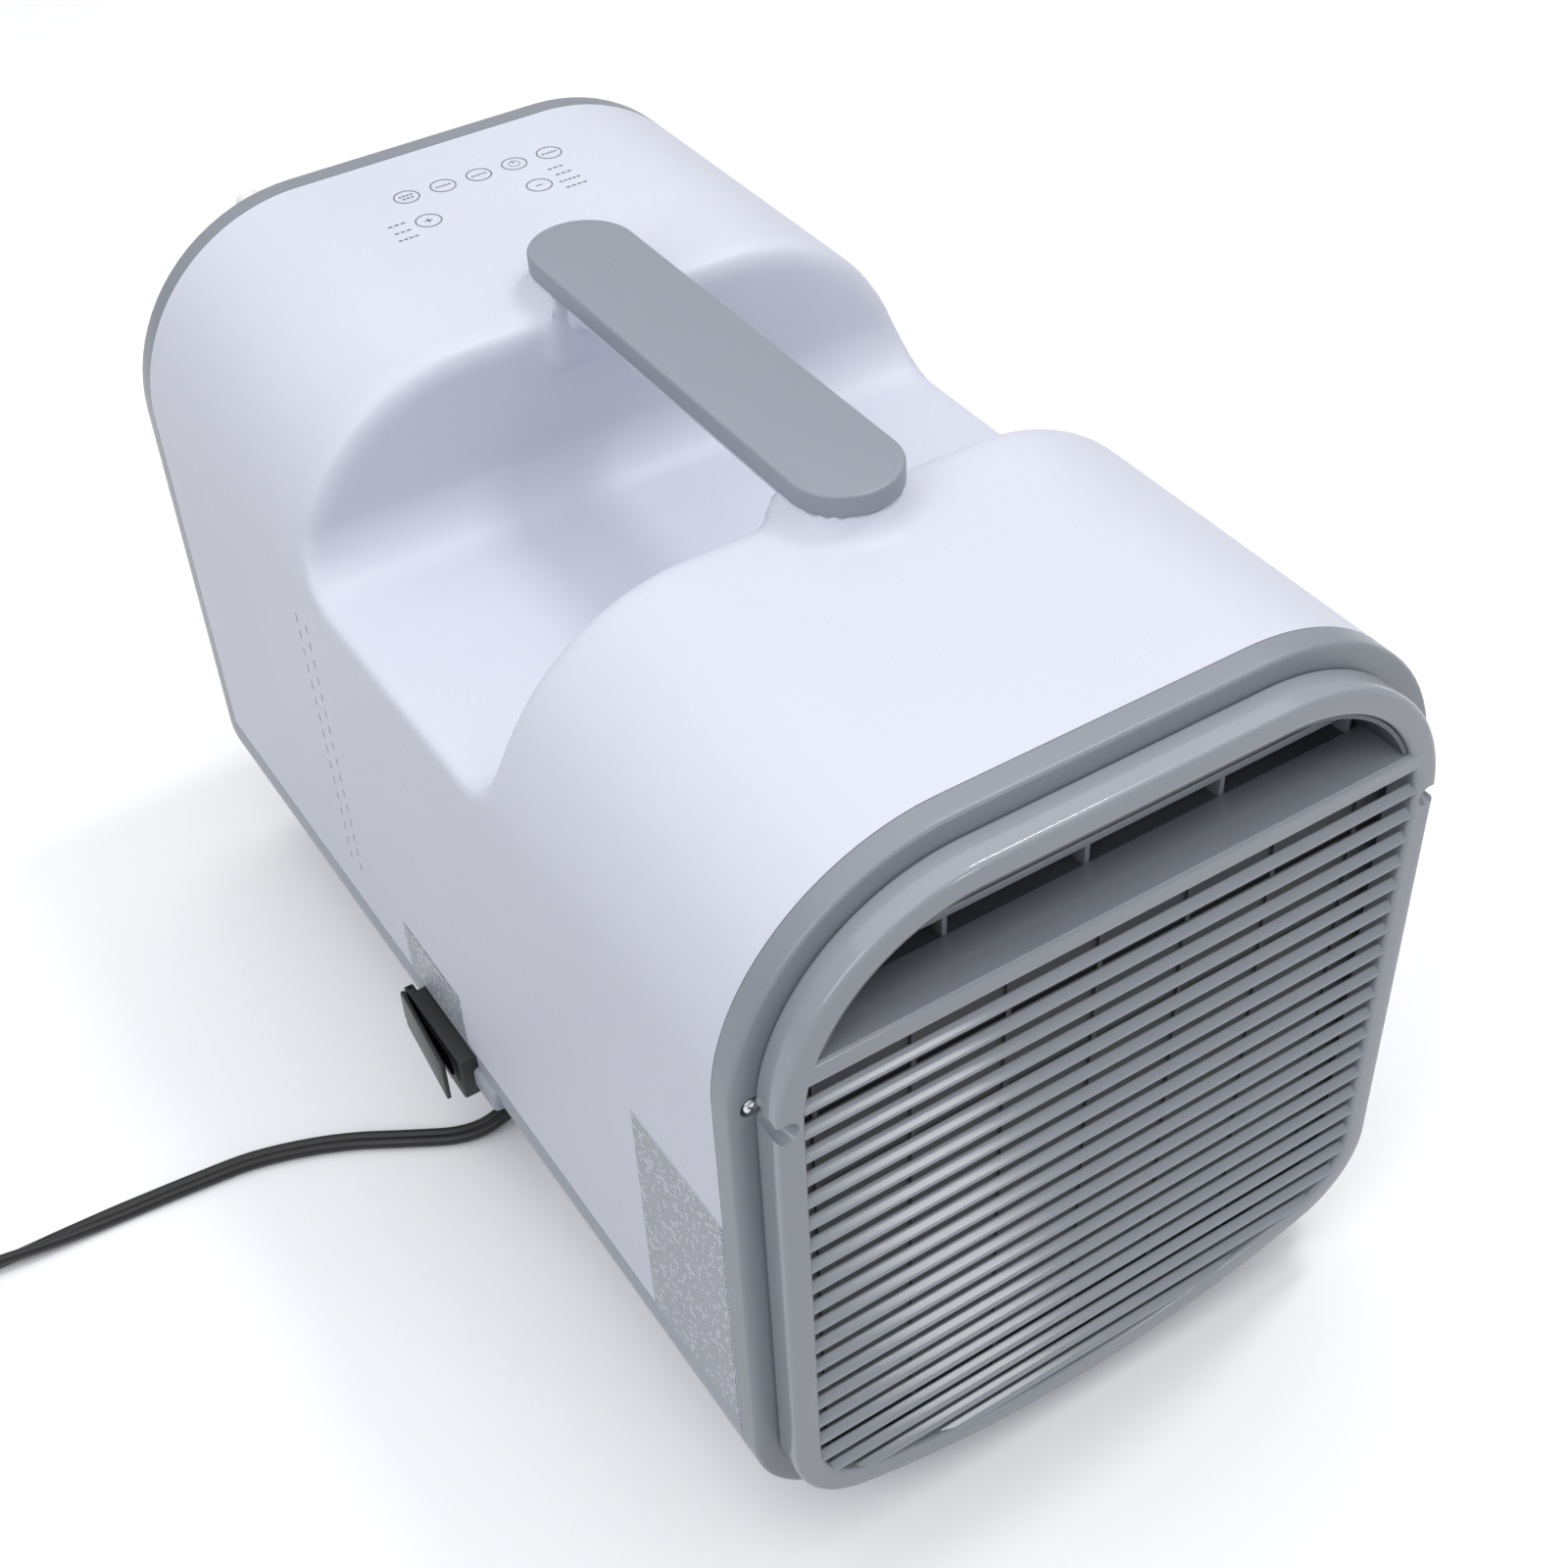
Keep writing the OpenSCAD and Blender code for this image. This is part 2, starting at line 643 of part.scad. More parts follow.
// A finned block between two end plates, with return bends past each end
module exchanger(y, z0, z1) {
  translate([-exchanger_w/2 + 2, y + 2, z0 + 4]) cube([exchanger_w - 4, coil_t - 4, z1 - z0 - 8]);
  for (x = [-exchanger_w/2, exchanger_w/2 - 2]) translate([x, y, z0]) cube([2, coil_t, z1 - z0]);
  bends = floor((z1 - z0 - 30)/40);
  for (i = [0:bends], side = [-1, 1]) translate([side*exchanger_w/2, y + coil_t/2, z0 + 24 + i*40])
    rotate([90, 0, 0]) rotate(side > 0 ? -90 : 90) rotate_extrude(angle = 180, $fn = round)
      translate([7, 0]) circle(3, $fn = round/2);
}
pan_floor = deck_z + 4;
evaporator_y = 22;
evaporator_top = blower_z - blower_r - 12;
condenser_y = shell_len - 50;
condenser_top = scoop_z - 10;
shroud_h = condenser_top - deck_z;
module evaporator_coil() color("#c8ccd0") place() exchanger(evaporator_y, pan_floor, evaporator_top);
module condenser_coil() color("#c8ccd0") place() exchanger(condenser_y, deck_z, condenser_top);

// Pipes of the refrigerant circuit
header_x = exchanger_w/2 - 12;
cold_z = 190;
hot_z = 230;
liquid_z = 60;
valve_at = [100, 95, 120];
drier_at = [70, 330, 90];
module suction_pipe() color(copper) place() pipe([[header_x, evaporator_y + coil_t, cold_z],
  [header_x, 105, cold_z], [tank_at.x, 120, cold_z], [tank_at.x, tank_at.y, cold_z + 10],
  [tank_at.x, tank_at.y, tank_z + 86]], pipe_r);
module discharge_pipe() color(copper) place() pipe([
  [compressor_at.x - 24, compressor_at.y, can_z + compressor_h],
  [compressor_at.x - 24, compressor_at.y, 212], [compressor_at.x - 40, 330, 212],
  [-header_x, 350, hot_z], [-header_x, condenser_y, hot_z]], pipe_r);
module filter_drier() color(copper) place() {
  y_cyl(drier_at.x, drier_at.y - 30, drier_at.y + 30, drier_at.z, 10);
  y_cyl(drier_at.x, drier_at.y - 38, drier_at.y - 30, drier_at.z, pipe_r);
  y_cyl(drier_at.x, drier_at.y + 30, drier_at.y + 38, drier_at.z, pipe_r);
}
module expansion_valve() color("#c9a24a") place() translate(valve_at) {
  cylinder(h = 22, r = 9, $fn = round);
  translate([0, 0, 22]) cylinder(h = 26, r = 14, $fn = round);
}
module liquid_pipe() color(copper) place() {
  pipe([[header_x, condenser_y, liquid_z], [header_x, 390, liquid_z],
    [drier_at.x, 376, drier_at.z], [drier_at.x, drier_at.y + 38, drier_at.z]], pipe_r - 1);
  pipe([[drier_at.x, drier_at.y - 38, drier_at.z], [drier_at.x, 284, drier_at.z],
    [60, 266, 90], [60, 150, 90],
    [valve_at.x, 130, 108], [valve_at.x, valve_at.y, 108], valve_at], pipe_r - 1);
  pipe([[valve_at.x, evaporator_y + coil_t, 132], [valve_at.x, valve_at.y - 9, 132]], pipe_r - 1);
}

fan_at = [0, 150];
fan_y = condenser_y - 21;
blade_wide = 44;
blade_turn = 28;
hub_r = 24;
hub_len = 16;
shroud_gap = 6;

// Axial fan in front of the condenser
module condenser_fan() color(dark_grey) place()
  translate([fan_at.x, fan_y, fan_at.y]) rotate([-90, 0, 0]) difference() {
    union() {
      cylinder(h = hub_len, r = hub_r, $fn = round);
      for (i = [0:fan_blades - 1]) rotate(i*360/fan_blades) translate([hub_r - 4, 0, hub_len/2])
        rotate([blade_turn, 0, 0]) translate([0, -blade_wide/2, -1.2]) cube([fan_r - hub_r, blade_wide, 2.4]);
    }
    translate([0, 0, -past]) cylinder(h = hub_len + 2*past, r = shaft_r, $fn = round);
  }
motor_y1 = fan_y - 12;
motor_y0 = motor_y1 - 42;
motor_r = 30;
clamp_y = motor_y0 + 12;
clamp_w = 12;
arm_w = 16;
arm_t = 4;
module condenser_shaft() color(steel) place()
  y_cyl(fan_at.x, motor_y1 - 16, fan_y + hub_len, fan_at.y, shaft_r);
module condenser_motor() color(steel) place() difference() {
  y_cyl(fan_at.x, motor_y0, motor_y1, fan_at.y, motor_r);
  y_cyl(fan_at.x, motor_y1 - 17, motor_y1 + past, fan_at.y, shaft_r + shaft_gap);
}
shroud_y = condenser_y - gap - 2;
module motor_bracket() color(steel) place() {
  difference() {
    union() {
      y_cyl(fan_at.x, clamp_y, clamp_y + clamp_w, fan_at.y, motor_r + 3);
      translate([-arm_w/2, clamp_y + 6, deck_z]) cube([arm_w, arm_t, shroud_h]);
    }
    y_cyl(fan_at.x, clamp_y - past, clamp_y + clamp_w + past, fan_at.y, motor_r);
  }
  translate([-arm_w/2, clamp_y + 6, condenser_top - arm_t]) cube([arm_w, shroud_y - clamp_y - 6, arm_t]);
}
module fan_shroud() color(dark_grey) place() difference() {
  union() {
    translate([-exchanger_w/2, shroud_y, deck_z]) cube([exchanger_w, 2, shroud_h]);
    y_cyl(fan_at.x, fan_y - 6, shroud_y + 2, fan_at.y, fan_r + shroud_gap + 2);
  }
  y_cyl(fan_at.x, fan_y - 7, shroud_y + 3, fan_at.y, fan_r + shroud_gap);
  y_cyl(-header_x, shroud_y - past, shroud_y + 3, hot_z, pipe_r + 1);
  y_cyl(header_x, shroud_y - past, shroud_y + 3, liquid_z, pipe_r + 1);
}

scroll_r = blower_r + 6;
scroll_x = blower_len/2 + 8;

// Cross-flow wheel that throws the cold air out of the outlet
module blower_wheel() color(dark_grey) place() difference() {
  union() {
    for (x = [-blower_len/2, -1, blower_len/2 - 2]) x_cyl(x, x + 2, blower_y, blower_z, blower_r);
    for (i = [0:blower_blades - 1]) translate([-blower_len/2, blower_y, blower_z])
      rotate([i*360/blower_blades, 0, 0]) translate([0, blower_r - 9, -0.6]) cube([blower_len, 8, 1.2]);
  }
  x_cyl(-blower_len, blower_len, blower_y, blower_z, shaft_r);
}
module blower_shaft() color(steel) place() x_cyl(-scroll_x - 4, scroll_x + 18, blower_y, blower_z, shaft_r);
module blower_motor() color(steel) place() difference() {
  x_cyl(scroll_x + 4, scroll_x + 30, blower_y, blower_z, 16);
  x_cyl(scroll_x + 3, scroll_x + 19, blower_y, blower_z, shaft_r + shaft_gap);
}
module blower_bush() color("#c9a24a") place() difference() {
  x_cyl(-scroll_x - 4, -scroll_x + 2, blower_y, blower_z, 8);
  x_cyl(-scroll_x - 5, -scroll_x + 3, blower_y, blower_z, shaft_r + shaft_gap);
}
module blower_scroll() color(dark_grey) place() difference() {
  union() {
    difference() {
      x_cyl(-scroll_x, scroll_x, blower_y, blower_z, scroll_r + 2);
      x_cyl(-scroll_x - past, scroll_x + past, blower_y, blower_z, scroll_r);
      translate([-half_w, blower_y - 2*scroll_r, blower_z - 2*scroll_r])
        cube([body_w, 2*scroll_r, 4*scroll_r]);
      translate([-half_w, blower_y - scroll_r, blower_z - 2*scroll_r])
        cube([body_w, 3*scroll_r, scroll_r + 8]);
    }
    translate([-scroll_x, duct_back, blower_z + scroll_r])
      cube([2*scroll_x, blower_y - duct_back + past, 2]);
    for (x = [-scroll_x, scroll_x - 2]) {
      x_cyl(x, x + 2, blower_y, blower_z, scroll_r + 1);
      translate([x, duct_back, blower_z - 20]) cube([2, blower_y - duct_back, scroll_r + 20]);
    }
  }
  x_cyl(-scroll_x - past, -scroll_x + 2 + past, blower_y, blower_z, 8);
  x_cyl(scroll_x - 2 - past, scroll_x + past, blower_y, blower_z, shaft_r + 1);
}

bulkhead_y = 132;
pump_at = [24 - deck_w/2, 90];
hose_hole = [pump_at.x - 14, 78];

// Partition between the cold front room and the warm rear room
module bulkhead() color("#e8e8e8") place() difference() {
  along_y(bulkhead_y, bulkhead_y + 2) outline_above(wall + gap, deck_z + gap);
  y_cyl(hose_hole.x, bulkhead_y - past, bulkhead_y + 3, hose_hole.y, drain_r + 3);
  translate([tank_at.x - 12, bulkhead_y - past, cold_z - 10]) cube([24, 4, 20]);
  translate([50, bulkhead_y - past, 84]) cube([55, 4, 32]);
}

// Tray that catches the water, its pump, the hose and the spout at the rear
module drain_pan() color(dark_grey) place() difference() {
  translate([-deck_w/2 + 4, 18, deck_z]) cube([deck_w - 8, 48, 18]);
  translate([-deck_w/2 + 6, 20, pan_floor]) cube([deck_w - 12, 44, 18]);
}
pump_r = 17;
pump_h = 34;
nozzle_r = 4;
nozzle_z = deck_z + 24;
nozzle_y = pump_at.y + pump_r + 6;
module drain_pump() color(black) place() {
  translate([pump_at.x, pump_at.y, deck_z]) cylinder(h = pump_h, r = pump_r, $fn = round);
  y_cyl(pump_at.x, 66, pump_at.y, deck_z + 9, nozzle_r);
  y_cyl(pump_at.x, pump_at.y, nozzle_y, nozzle_z, nozzle_r);
}
spout_x = -72;
spout_z = top_z - 17;
side_x = 18 - half_w;
spout_y = shell_len - 8;
hose_route = [[pump_at.x, nozzle_y, nozzle_z], [pump_at.x, nozzle_y + 4, nozzle_z],
  [pump_at.x - 4, nozzle_y + 10, 69], [hose_hole.x, bulkhead_y + 1, hose_hole.y],
  [side_x + 7, 150, 92], [side_x + 2, 175, 108], [side_x, 205, 124], [side_x, 240, 140],
  [side_x, 275, 158], [side_x + 2, spout_y - 162, 180], [side_x + 8, spout_y - 141, 208],
  [side_x + 18, spout_y - 125, 240], [spout_x - 25, spout_y - 109, spout_z - 51],
  [spout_x - 13, spout_y - 89, spout_z - 25], [spout_x - 4, spout_y - 65, spout_z - 7],
  [spout_x, spout_y - 37, spout_z], [spout_x, spout_y, spout_z]];
module drain_hose() color("#d8d8d8") place() sweep(hose_route, 2*drain_r - 2, 2*drain_r - 2);
spout_len = 24;
spout_flange_r = drain_r + 3;
spout_neck_r = drain_r - 0.5;
module drain_spout() color("#ececec") place() difference() {
  union() {
    y_cyl(spout_x, spout_y, rear_face + 2, spout_z, spout_neck_r);
    y_cyl(spout_x, rear_face + 1, rear_face + spout_len, spout_z, drain_r);
    y_cyl(spout_x, rear_seat - 3, rear_seat, spout_z, spout_flange_r);
  }
  y_cyl(spout_x, spout_y - past, rear_face + spout_len + past, spout_z, drain_r - 2);
}

box_y = 150;
box_len = 150;
box_z = deck_z;
box_h = 170;

// Sheet-metal box on the right side, and the board inside it
module control_box() color(steel) place() difference() {
  translate([box_x, box_y, box_z]) cube([box_d, box_len, box_h]);
  translate([box_x + 1.2, box_y + 1.2, box_z + 1.2]) cube([box_d, box_len - 2.4, box_h - 2.4]);
}
module main_board() color(board_green) place() {
  translate([box_x + 8, box_y + 4, box_z + 6]) cube([board_t, box_len - 8, box_h - 12]);
  for (i = [0:3]) translate([box_x + 8 + board_t, box_y + 18 + i*32, box_z + 30]) cube([12, 14, 18]);
  for (i = [0:7]) translate([box_x + 8 + board_t, box_y + 16 + i*15, box_z + 90]) cube([14, 3, 60]);
  for (p = [[12, 12], [box_len - 16, 12], [12, box_h - 20], [box_len - 16, box_h - 20]])
    translate([box_x + 1.2, box_y + p.x, box_z + p.y]) cube([6.8, 4, 4]);
}

// ---- rear ----

collar_x = 38;
collar_z = shell_z + 90;
collar_wall = 2.5;
flange_w = 10;

// Rear panel with intake slots and the opening for hot air
module rear_panel() color(case_grey) place() difference() {
  along_y(rear_seat, rear_face - 1) body_outline(ring_face + gap);
  intersection() {
    along_y(rear_face - 5, rear_face) difference() {
      body_outline(ring_face + 14);
      translate([collar_x, collar_z]) circle(collar_r + flange_w + 5, $fn = fine);
      translate([-half_w, spout_z - 16]) square([body_w, 60]);
    }
    along_x(-half_w, half_w)
      for (z = [shell_z - 30:rear_slot_pitch:spout_z - 24])
        translate([rear_face - 5, z]) square([5, rear_slot_pitch/2]);
  }
  y_cyl(collar_x, rear_face - 5, rear_face, collar_z, collar_r - collar_wall);
  y_cyl(spout_x, rear_face - 5, rear_face, spout_z, drain_r + gap);
  for (a = [45:90:315]) y_cyl(collar_x + (collar_r + 5)*cos(a), rear_face - 5, rear_face,
    collar_z + (collar_r + 5)*sin(a), 1.7);
}
module exhaust_collar() color(case_grey) place() difference() {
  union() {
    y_cyl(collar_x, rear_face - 1, rear_face + collar_len, collar_z, collar_r);
    y_cyl(collar_x, rear_face - 1, rear_face + 2, collar_z, collar_r + flange_w);
  }
  y_cyl(collar_x, rear_face - 2, rear_face + collar_len + past, collar_z, collar_r - collar_wall);
  for (a = [45:90:315]) y_cyl(collar_x + (collar_r + 5)*cos(a), rear_face - 2, rear_face + 3,
    collar_z + (collar_r + 5)*sin(a), 1.7);
}
module collar_screws() color(steel) place() for (a = [45:90:315])
  translate([collar_x + (collar_r + 5)*cos(a), 0, collar_z + (collar_r + 5)*sin(a)]) {
    y_cyl(0, rear_face + 2, rear_face + 4, 0, 3.2);
    y_cyl(0, rear_face - 6, rear_face + 2, 0, 1.6);
  }

// ---- cord ----

relief_x = -gland_x - 8;
relief_len = 26;
cord_start = relief_x - 4 - relief_len;

// Gland with its tapered strain relief, on the tray's underside
module cord_gland() color(black) place() translate([relief_x, gland_y, gland_z]) rotate([0, -90, 0]) {
  cylinder(h = 4, r = 8, $fn = round);
  translate([0, 0, 4]) cylinder(h = relief_len, r1 = 6.5, r2 = cord_w/2 + 0.6, $fn = round);
}

// Where the cord runs, from the gland to the coil, and the coil's place
cord_route = [[cord_start, gland_y, gland_z], [-128, 234, 8], [-140, 234.5, 4.5], [-153, 239, 2.6],
  [-172, 250, 2.4], [-192, 262, 2.4], [-212, 271, 2.4], [-235, 278, 2.4], [-260, 281, 2.4],
  [-285, 283, 2.5], [-310, 284.5, 2.9], [-335, 286, 3.8], [-360, 288, 4.8], [-385, 289.7, 5.3],
  [-403, 290.2, 5.3]];
coil_at = [-405, 345];
coil_r = 50;
coil_lift = 0.8;
coil_wide = 3*cord_t + 0.2;
coil_high = 2*cord_w;
tail_route = [[-459.8, 346, 14.3], [-459.6, 358, 13.2], [-459, 370, 11], [-458, 382, 8], [-458, 392, 8]];

module power_cord() color(black) place() sweep(cord_route, cord_w, cord_t);
module cord_tail() color(black) place() sweep(tail_route, cord_w, cord_t);
module cord_coil() color(black) place()
  translate([coil_at.x, coil_at.y, coil_lift]) rotate_extrude($fn = fine)
    translate([coil_r - coil_wide/2, 0]) square([coil_wide, coil_high]);

// Strap round the coil
module cord_tie() color(dark_grey) place()
  translate([coil_at.x + coil_r, coil_at.y, coil_lift + coil_high/2]) difference() {
    cube([coil_wide + 2*coil_lift, 12, coil_high + 2*coil_lift], center = true);
    translate([-coil_r, 0, 0]) difference() {
      cylinder(h = coil_high, r = coil_r + coil_wide/2, center = true, $fn = fine);
      cylinder(h = coil_high + past, r = coil_r - coil_wide/2, center = true, $fn = fine);
    }
  }

// Two-pole connector for the battery, lying beside the coil
connector_len = 46;
connector_w = 24;
connector_h = 16;
module battery_connector() color(black) place() translate([-458, 392, 0]) difference() {
  translate([-connector_w/2, 0, 0]) cube([connector_w, connector_len, connector_h]);
  for (x = [-6, 6]) translate([x - 3.5, connector_len - 20, 4]) cube([7, 20 + past, 8]);
}

shell();
base_tray();
front_ring();
rear_ring();
front_panel();
outlet_duct();
panel_screws();
air_filter();
handle_grip();
handle_screws();
touch_board();
rating_label();
voltage_label();
inlet_socket();
inlet_contacts();
inlet_flap();
flap_pin();
inlet_harness();
feet();
base_screws();
chassis_plate();
compressor();
compressor_mounts();
compressor_bolts();
accumulator();
accumulator_bracket();
evaporator_coil();
condenser_coil();
filter_drier();
expansion_valve();
suction_pipe();
discharge_pipe();
liquid_pipe();
condenser_fan();
condenser_shaft();
condenser_motor();
motor_bracket();
fan_shroud();
blower_wheel();
blower_shaft();
blower_motor();
blower_bush();
blower_scroll();
bulkhead();
drain_pan();
drain_pump();
drain_hose();
drain_spout();
control_box();
main_board();
rear_panel();
exhaust_collar();
collar_screws();
cord_gland();
power_cord();
cord_coil();
cord_tail();
cord_tie();
battery_connector();
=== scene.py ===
import json
import math
import bmesh
import bpy
import numpy as np
import openvdb
from mathutils import Matrix, Vector


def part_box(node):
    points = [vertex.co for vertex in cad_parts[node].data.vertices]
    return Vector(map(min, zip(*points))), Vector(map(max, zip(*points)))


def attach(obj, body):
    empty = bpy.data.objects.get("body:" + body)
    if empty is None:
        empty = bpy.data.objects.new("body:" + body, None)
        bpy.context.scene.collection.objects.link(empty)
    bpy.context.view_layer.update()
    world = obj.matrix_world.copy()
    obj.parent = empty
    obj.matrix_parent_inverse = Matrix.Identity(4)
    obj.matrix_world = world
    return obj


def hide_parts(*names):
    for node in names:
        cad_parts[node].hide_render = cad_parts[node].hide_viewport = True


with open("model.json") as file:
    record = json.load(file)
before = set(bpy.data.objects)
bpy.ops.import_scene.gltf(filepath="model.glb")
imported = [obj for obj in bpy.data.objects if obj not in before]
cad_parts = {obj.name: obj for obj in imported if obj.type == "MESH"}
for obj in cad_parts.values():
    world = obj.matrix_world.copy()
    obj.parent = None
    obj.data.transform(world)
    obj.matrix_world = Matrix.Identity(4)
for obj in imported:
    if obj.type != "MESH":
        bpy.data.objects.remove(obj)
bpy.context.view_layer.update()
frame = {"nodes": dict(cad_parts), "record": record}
scene = bpy.context.scene

# ---- Camera ----
# One camera looks down on the cooler's front left corner, a little rolled,
# with a normal lens and no blur. Home is the middle of the shell's front edge.
shell_low, shell_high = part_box("shell")
home = Vector(((shell_low.x + shell_high.x)/2, shell_low.y, 0))
view_turn, view_height, view_roll = math.radians(-30.67), math.radians(42.11), math.radians(-3.0)
toward_eye = Vector((math.sin(view_turn)*math.cos(view_height),
                     -math.cos(view_turn)*math.cos(view_height), math.sin(view_height)))
level = Vector((math.cos(view_turn), math.sin(view_turn), 0))
upward = toward_eye.cross(level)
eye_x = level*math.cos(view_roll) + upward*math.sin(view_roll)
eye_y = toward_eye.cross(eye_x)
camera = bpy.data.objects.new("camera", bpy.data.cameras.new("camera"))
camera.data.lens, camera.data.sensor_width = 51.76, 36
camera.matrix_world = Matrix((eye_x, eye_y, toward_eye)).transposed().to_4x4()
camera.location = home + Vector((-0.351, -0.4012, 0.7939))
scene.collection.objects.link(camera)
scene.camera = camera

# ---- Cord ----
# A flat twin lead of black PVC leaves a gland under the tray and runs along the
# floor. The rest is wound on edge, two turns high and three deep, and tied.


def place(points):
    """Millimetres from the middle of the shell's front edge on the floor, as metres in the frame"""
    return np.asarray(points, float)/1000 + np.array(home)


def linear(code):
    """An sRGB hex colour as linear light"""
    parts = [int(code[i:i + 2], 16)/255 for i in (1, 3, 5)]
    return (*[p/12.92 if p <= 0.04045 else ((p + 0.055)/1.055)**2.4 for p in parts], 1.0)


def node(tree, kind, settings=(), **links):
    """Adds a node with its settings; links are socket names, or i0, i1 for numbered sockets"""
    made = tree.nodes.new(kind)
    for name, value in dict(settings).items():
        if isinstance(name, int) or name in made.inputs:
            made.inputs[name].default_value = value
        else:
            setattr(made, name, value)
    for name, source in links.items():
        numbered = name[0] == "i" and name[1:].isdigit()
        tree.links.new(source, made.inputs[int(name[1:]) if numbered else name.replace("_", " ")])
    return made


def new_material(name):
    """An empty material with a shader, and its tree"""
    made = bpy.data.materials.new(name)
    made.use_nodes = True
    return made, made.node_tree, made.node_tree.nodes["Principled BSDF"]


def moulded(name, light, dark, gloss, grain, depth, refraction=1.53, cloud=90):
    """Moulded plastic: a faint drift of tone, a spark-eroded grain in mm and uneven gloss"""
    made, tree, shader = new_material(name)
    spot = node(tree, "ShaderNodeTexCoord").outputs["Object"]
    drift = node(tree, "ShaderNodeTexNoise", {"Scale": 1000/cloud, "Detail": 3.0}, Vector=spot)
    tone = node(tree, "ShaderNodeMix", {"data_type": "RGBA", 6: linear(dark), 7: linear(light)},
                i0=drift.outputs["Fac"])
    pits = node(tree, "ShaderNodeTexNoise", {"Scale": 1000/grain, "Detail": 4.0, "Roughness": 0.6},
                Vector=spot)
    sheen = node(tree, "ShaderNodeMapRange", {"From Min": 0.3, "From Max": 0.7,
                                              "To Min": gloss[0], "To Max": gloss[1]},
                 Value=drift.outputs["Fac"])
    relief = node(tree, "ShaderNodeBump", {"Strength": 0.6, "Distance": depth/1000},
                  Height=pits.outputs["Fac"])
    shader.inputs["IOR"].default_value = refraction
    tree.links.new(tone.outputs[2], shader.inputs["Base Color"])
    tree.links.new(sheen.outputs["Result"], shader.inputs["Roughness"])
    tree.links.new(relief.outputs["Normal"], shader.inputs["Normal"])
    return made


def smooth(mesh, sharp=35):
    """Smooth shading, with sharp edges past an angle in degrees"""
    mesh.polygons.foreach_set("use_smooth", [True]*len(mesh.polygons))
    mesh.set_sharp_from_angle(angle=math.radians(sharp))


def finished(name, mesh, material, sharp=35):
    """Links a mesh as a piece, with its points merged, its faces outward and its material"""
    work = bmesh.new()
    work.from_mesh(mesh)
    bmesh.ops.remove_doubles(work, verts=work.verts, dist=1e-6)
    bmesh.ops.recalc_face_normals(work, faces=work.faces)
    work.to_mesh(mesh)
    work.free()
    smooth(mesh, sharp)
    mesh.materials.clear()
    mesh.materials.append(material)
    made = bpy.data.objects.new(name, mesh)
    scene.collection.objects.link(made)
    return made


def loft(name, loops, material, round_trip=False, sharp=35):
    """Skins a row of equal loops given in mm; a round trip joins the last loop to the first"""
    loops = [np.asarray(loop, float) for loop in loops]
    n, m = len(loops[0]), len(loops)
    faces = []
    for i in range(m if round_trip else m - 1):
        j = (i + 1) % m
        for k in range(n):
            after = (k + 1) % n
            faces.append((i*n + k, i*n + after, j*n + after, j*n + k))
    if not round_trip:
        faces += [tuple(range(n))[::-1], tuple((m - 1)*n + k for k in range(n))]
    mesh = bpy.data.meshes.new(name)
    mesh.from_pydata(place(np.concatenate(loops)).tolist(), [], faces)
    return finished(name, mesh, material, sharp)


# soft black PVC, drawn through a die: satin, with faint lines along its run
cord_pvc = moulded("extruded black PVC", "#161617", "#0f0f10", (0.32, 0.42), 1.2, 0.05, 1.53, 40)
cord_w, cord_t = 9, 4.8
cord_route = [(-116, 234, 10), (-128, 234, 8), (-140, 234.5, 4.5), (-153, 239, 2.6),
              (-172, 250, 2.4), (-192, 262, 2.4), (-212, 271, 2.4), (-235, 278, 2.4),
              (-260, 281, 2.4), (-285, 283, 2.5), (-310, 284.5, 2.9), (-335, 286, 3.8),
              (-360, 288, 4.8), (-385, 289.7, 5.3), (-403, 290.2, 5.3)]
tail_route = [(-459.8, 346, 14.3), (-459.6, 358, 13.2), (-459, 370, 11), (-458, 382, 8),
              (-458, 392, 8)]
coil_at, coil_r, coil_lift = (-405, 345), 50, 0.8


def smooth_line(points, spacing):
    """A Catmull-Rom line through the points, cut into steps of about that many mm"""
    p = np.asarray(points, float)
    p = np.vstack([2*p[0] - p[1], p, 2*p[-1] - p[-2]])
    out = []
    for a, b, c, d in zip(p, p[1:], p[2:], p[3:]):
        steps = max(1, round(np.linalg.norm(c - b)/spacing))
        for t in np.arange(steps)/steps:
            out.append(0.5*(2*b + (c - a)*t + (2*a - 5*b + 4*c - d)*t*t + (3*b - a - 3*c + d)*t**3))
    return np.array(out + [p[-2]])


def ramp(value, start, length):
    """Rises from 0 to 1 over a length after the start"""
    return min(max((value - start)/length, 0), 1)


# three turns in along the lower row, up, and three turns out along the upper row
rounds, steps_a_round, wound = 6, 48, 5.75
turns = []
for step in range(1, rounds*steps_a_round):
    turn = step/steps_a_round
    angle = -math.pi/2 - 2*math.pi*(turn*wound/rounds)
    depth = 1 - 2*ramp(turn, 0.1, 2.3) if turn < 3 else -1 + 2*ramp(turn, 3.5, 2.2)
    climb = 0.5 - 0.5*math.cos(math.pi*ramp(turn, 2.6, 0.8))
    radius = coil_r + cord_t*depth
    turns.append((coil_at[0] + radius*math.cos(angle), coil_at[1] + radius*math.sin(angle),
                  coil_lift + cord_w/2 + cord_w*climb))
lead_in = smooth_line(cord_route, 4)
cord_line = np.vstack([lead_in, turns, smooth_line(tail_route, 4)])
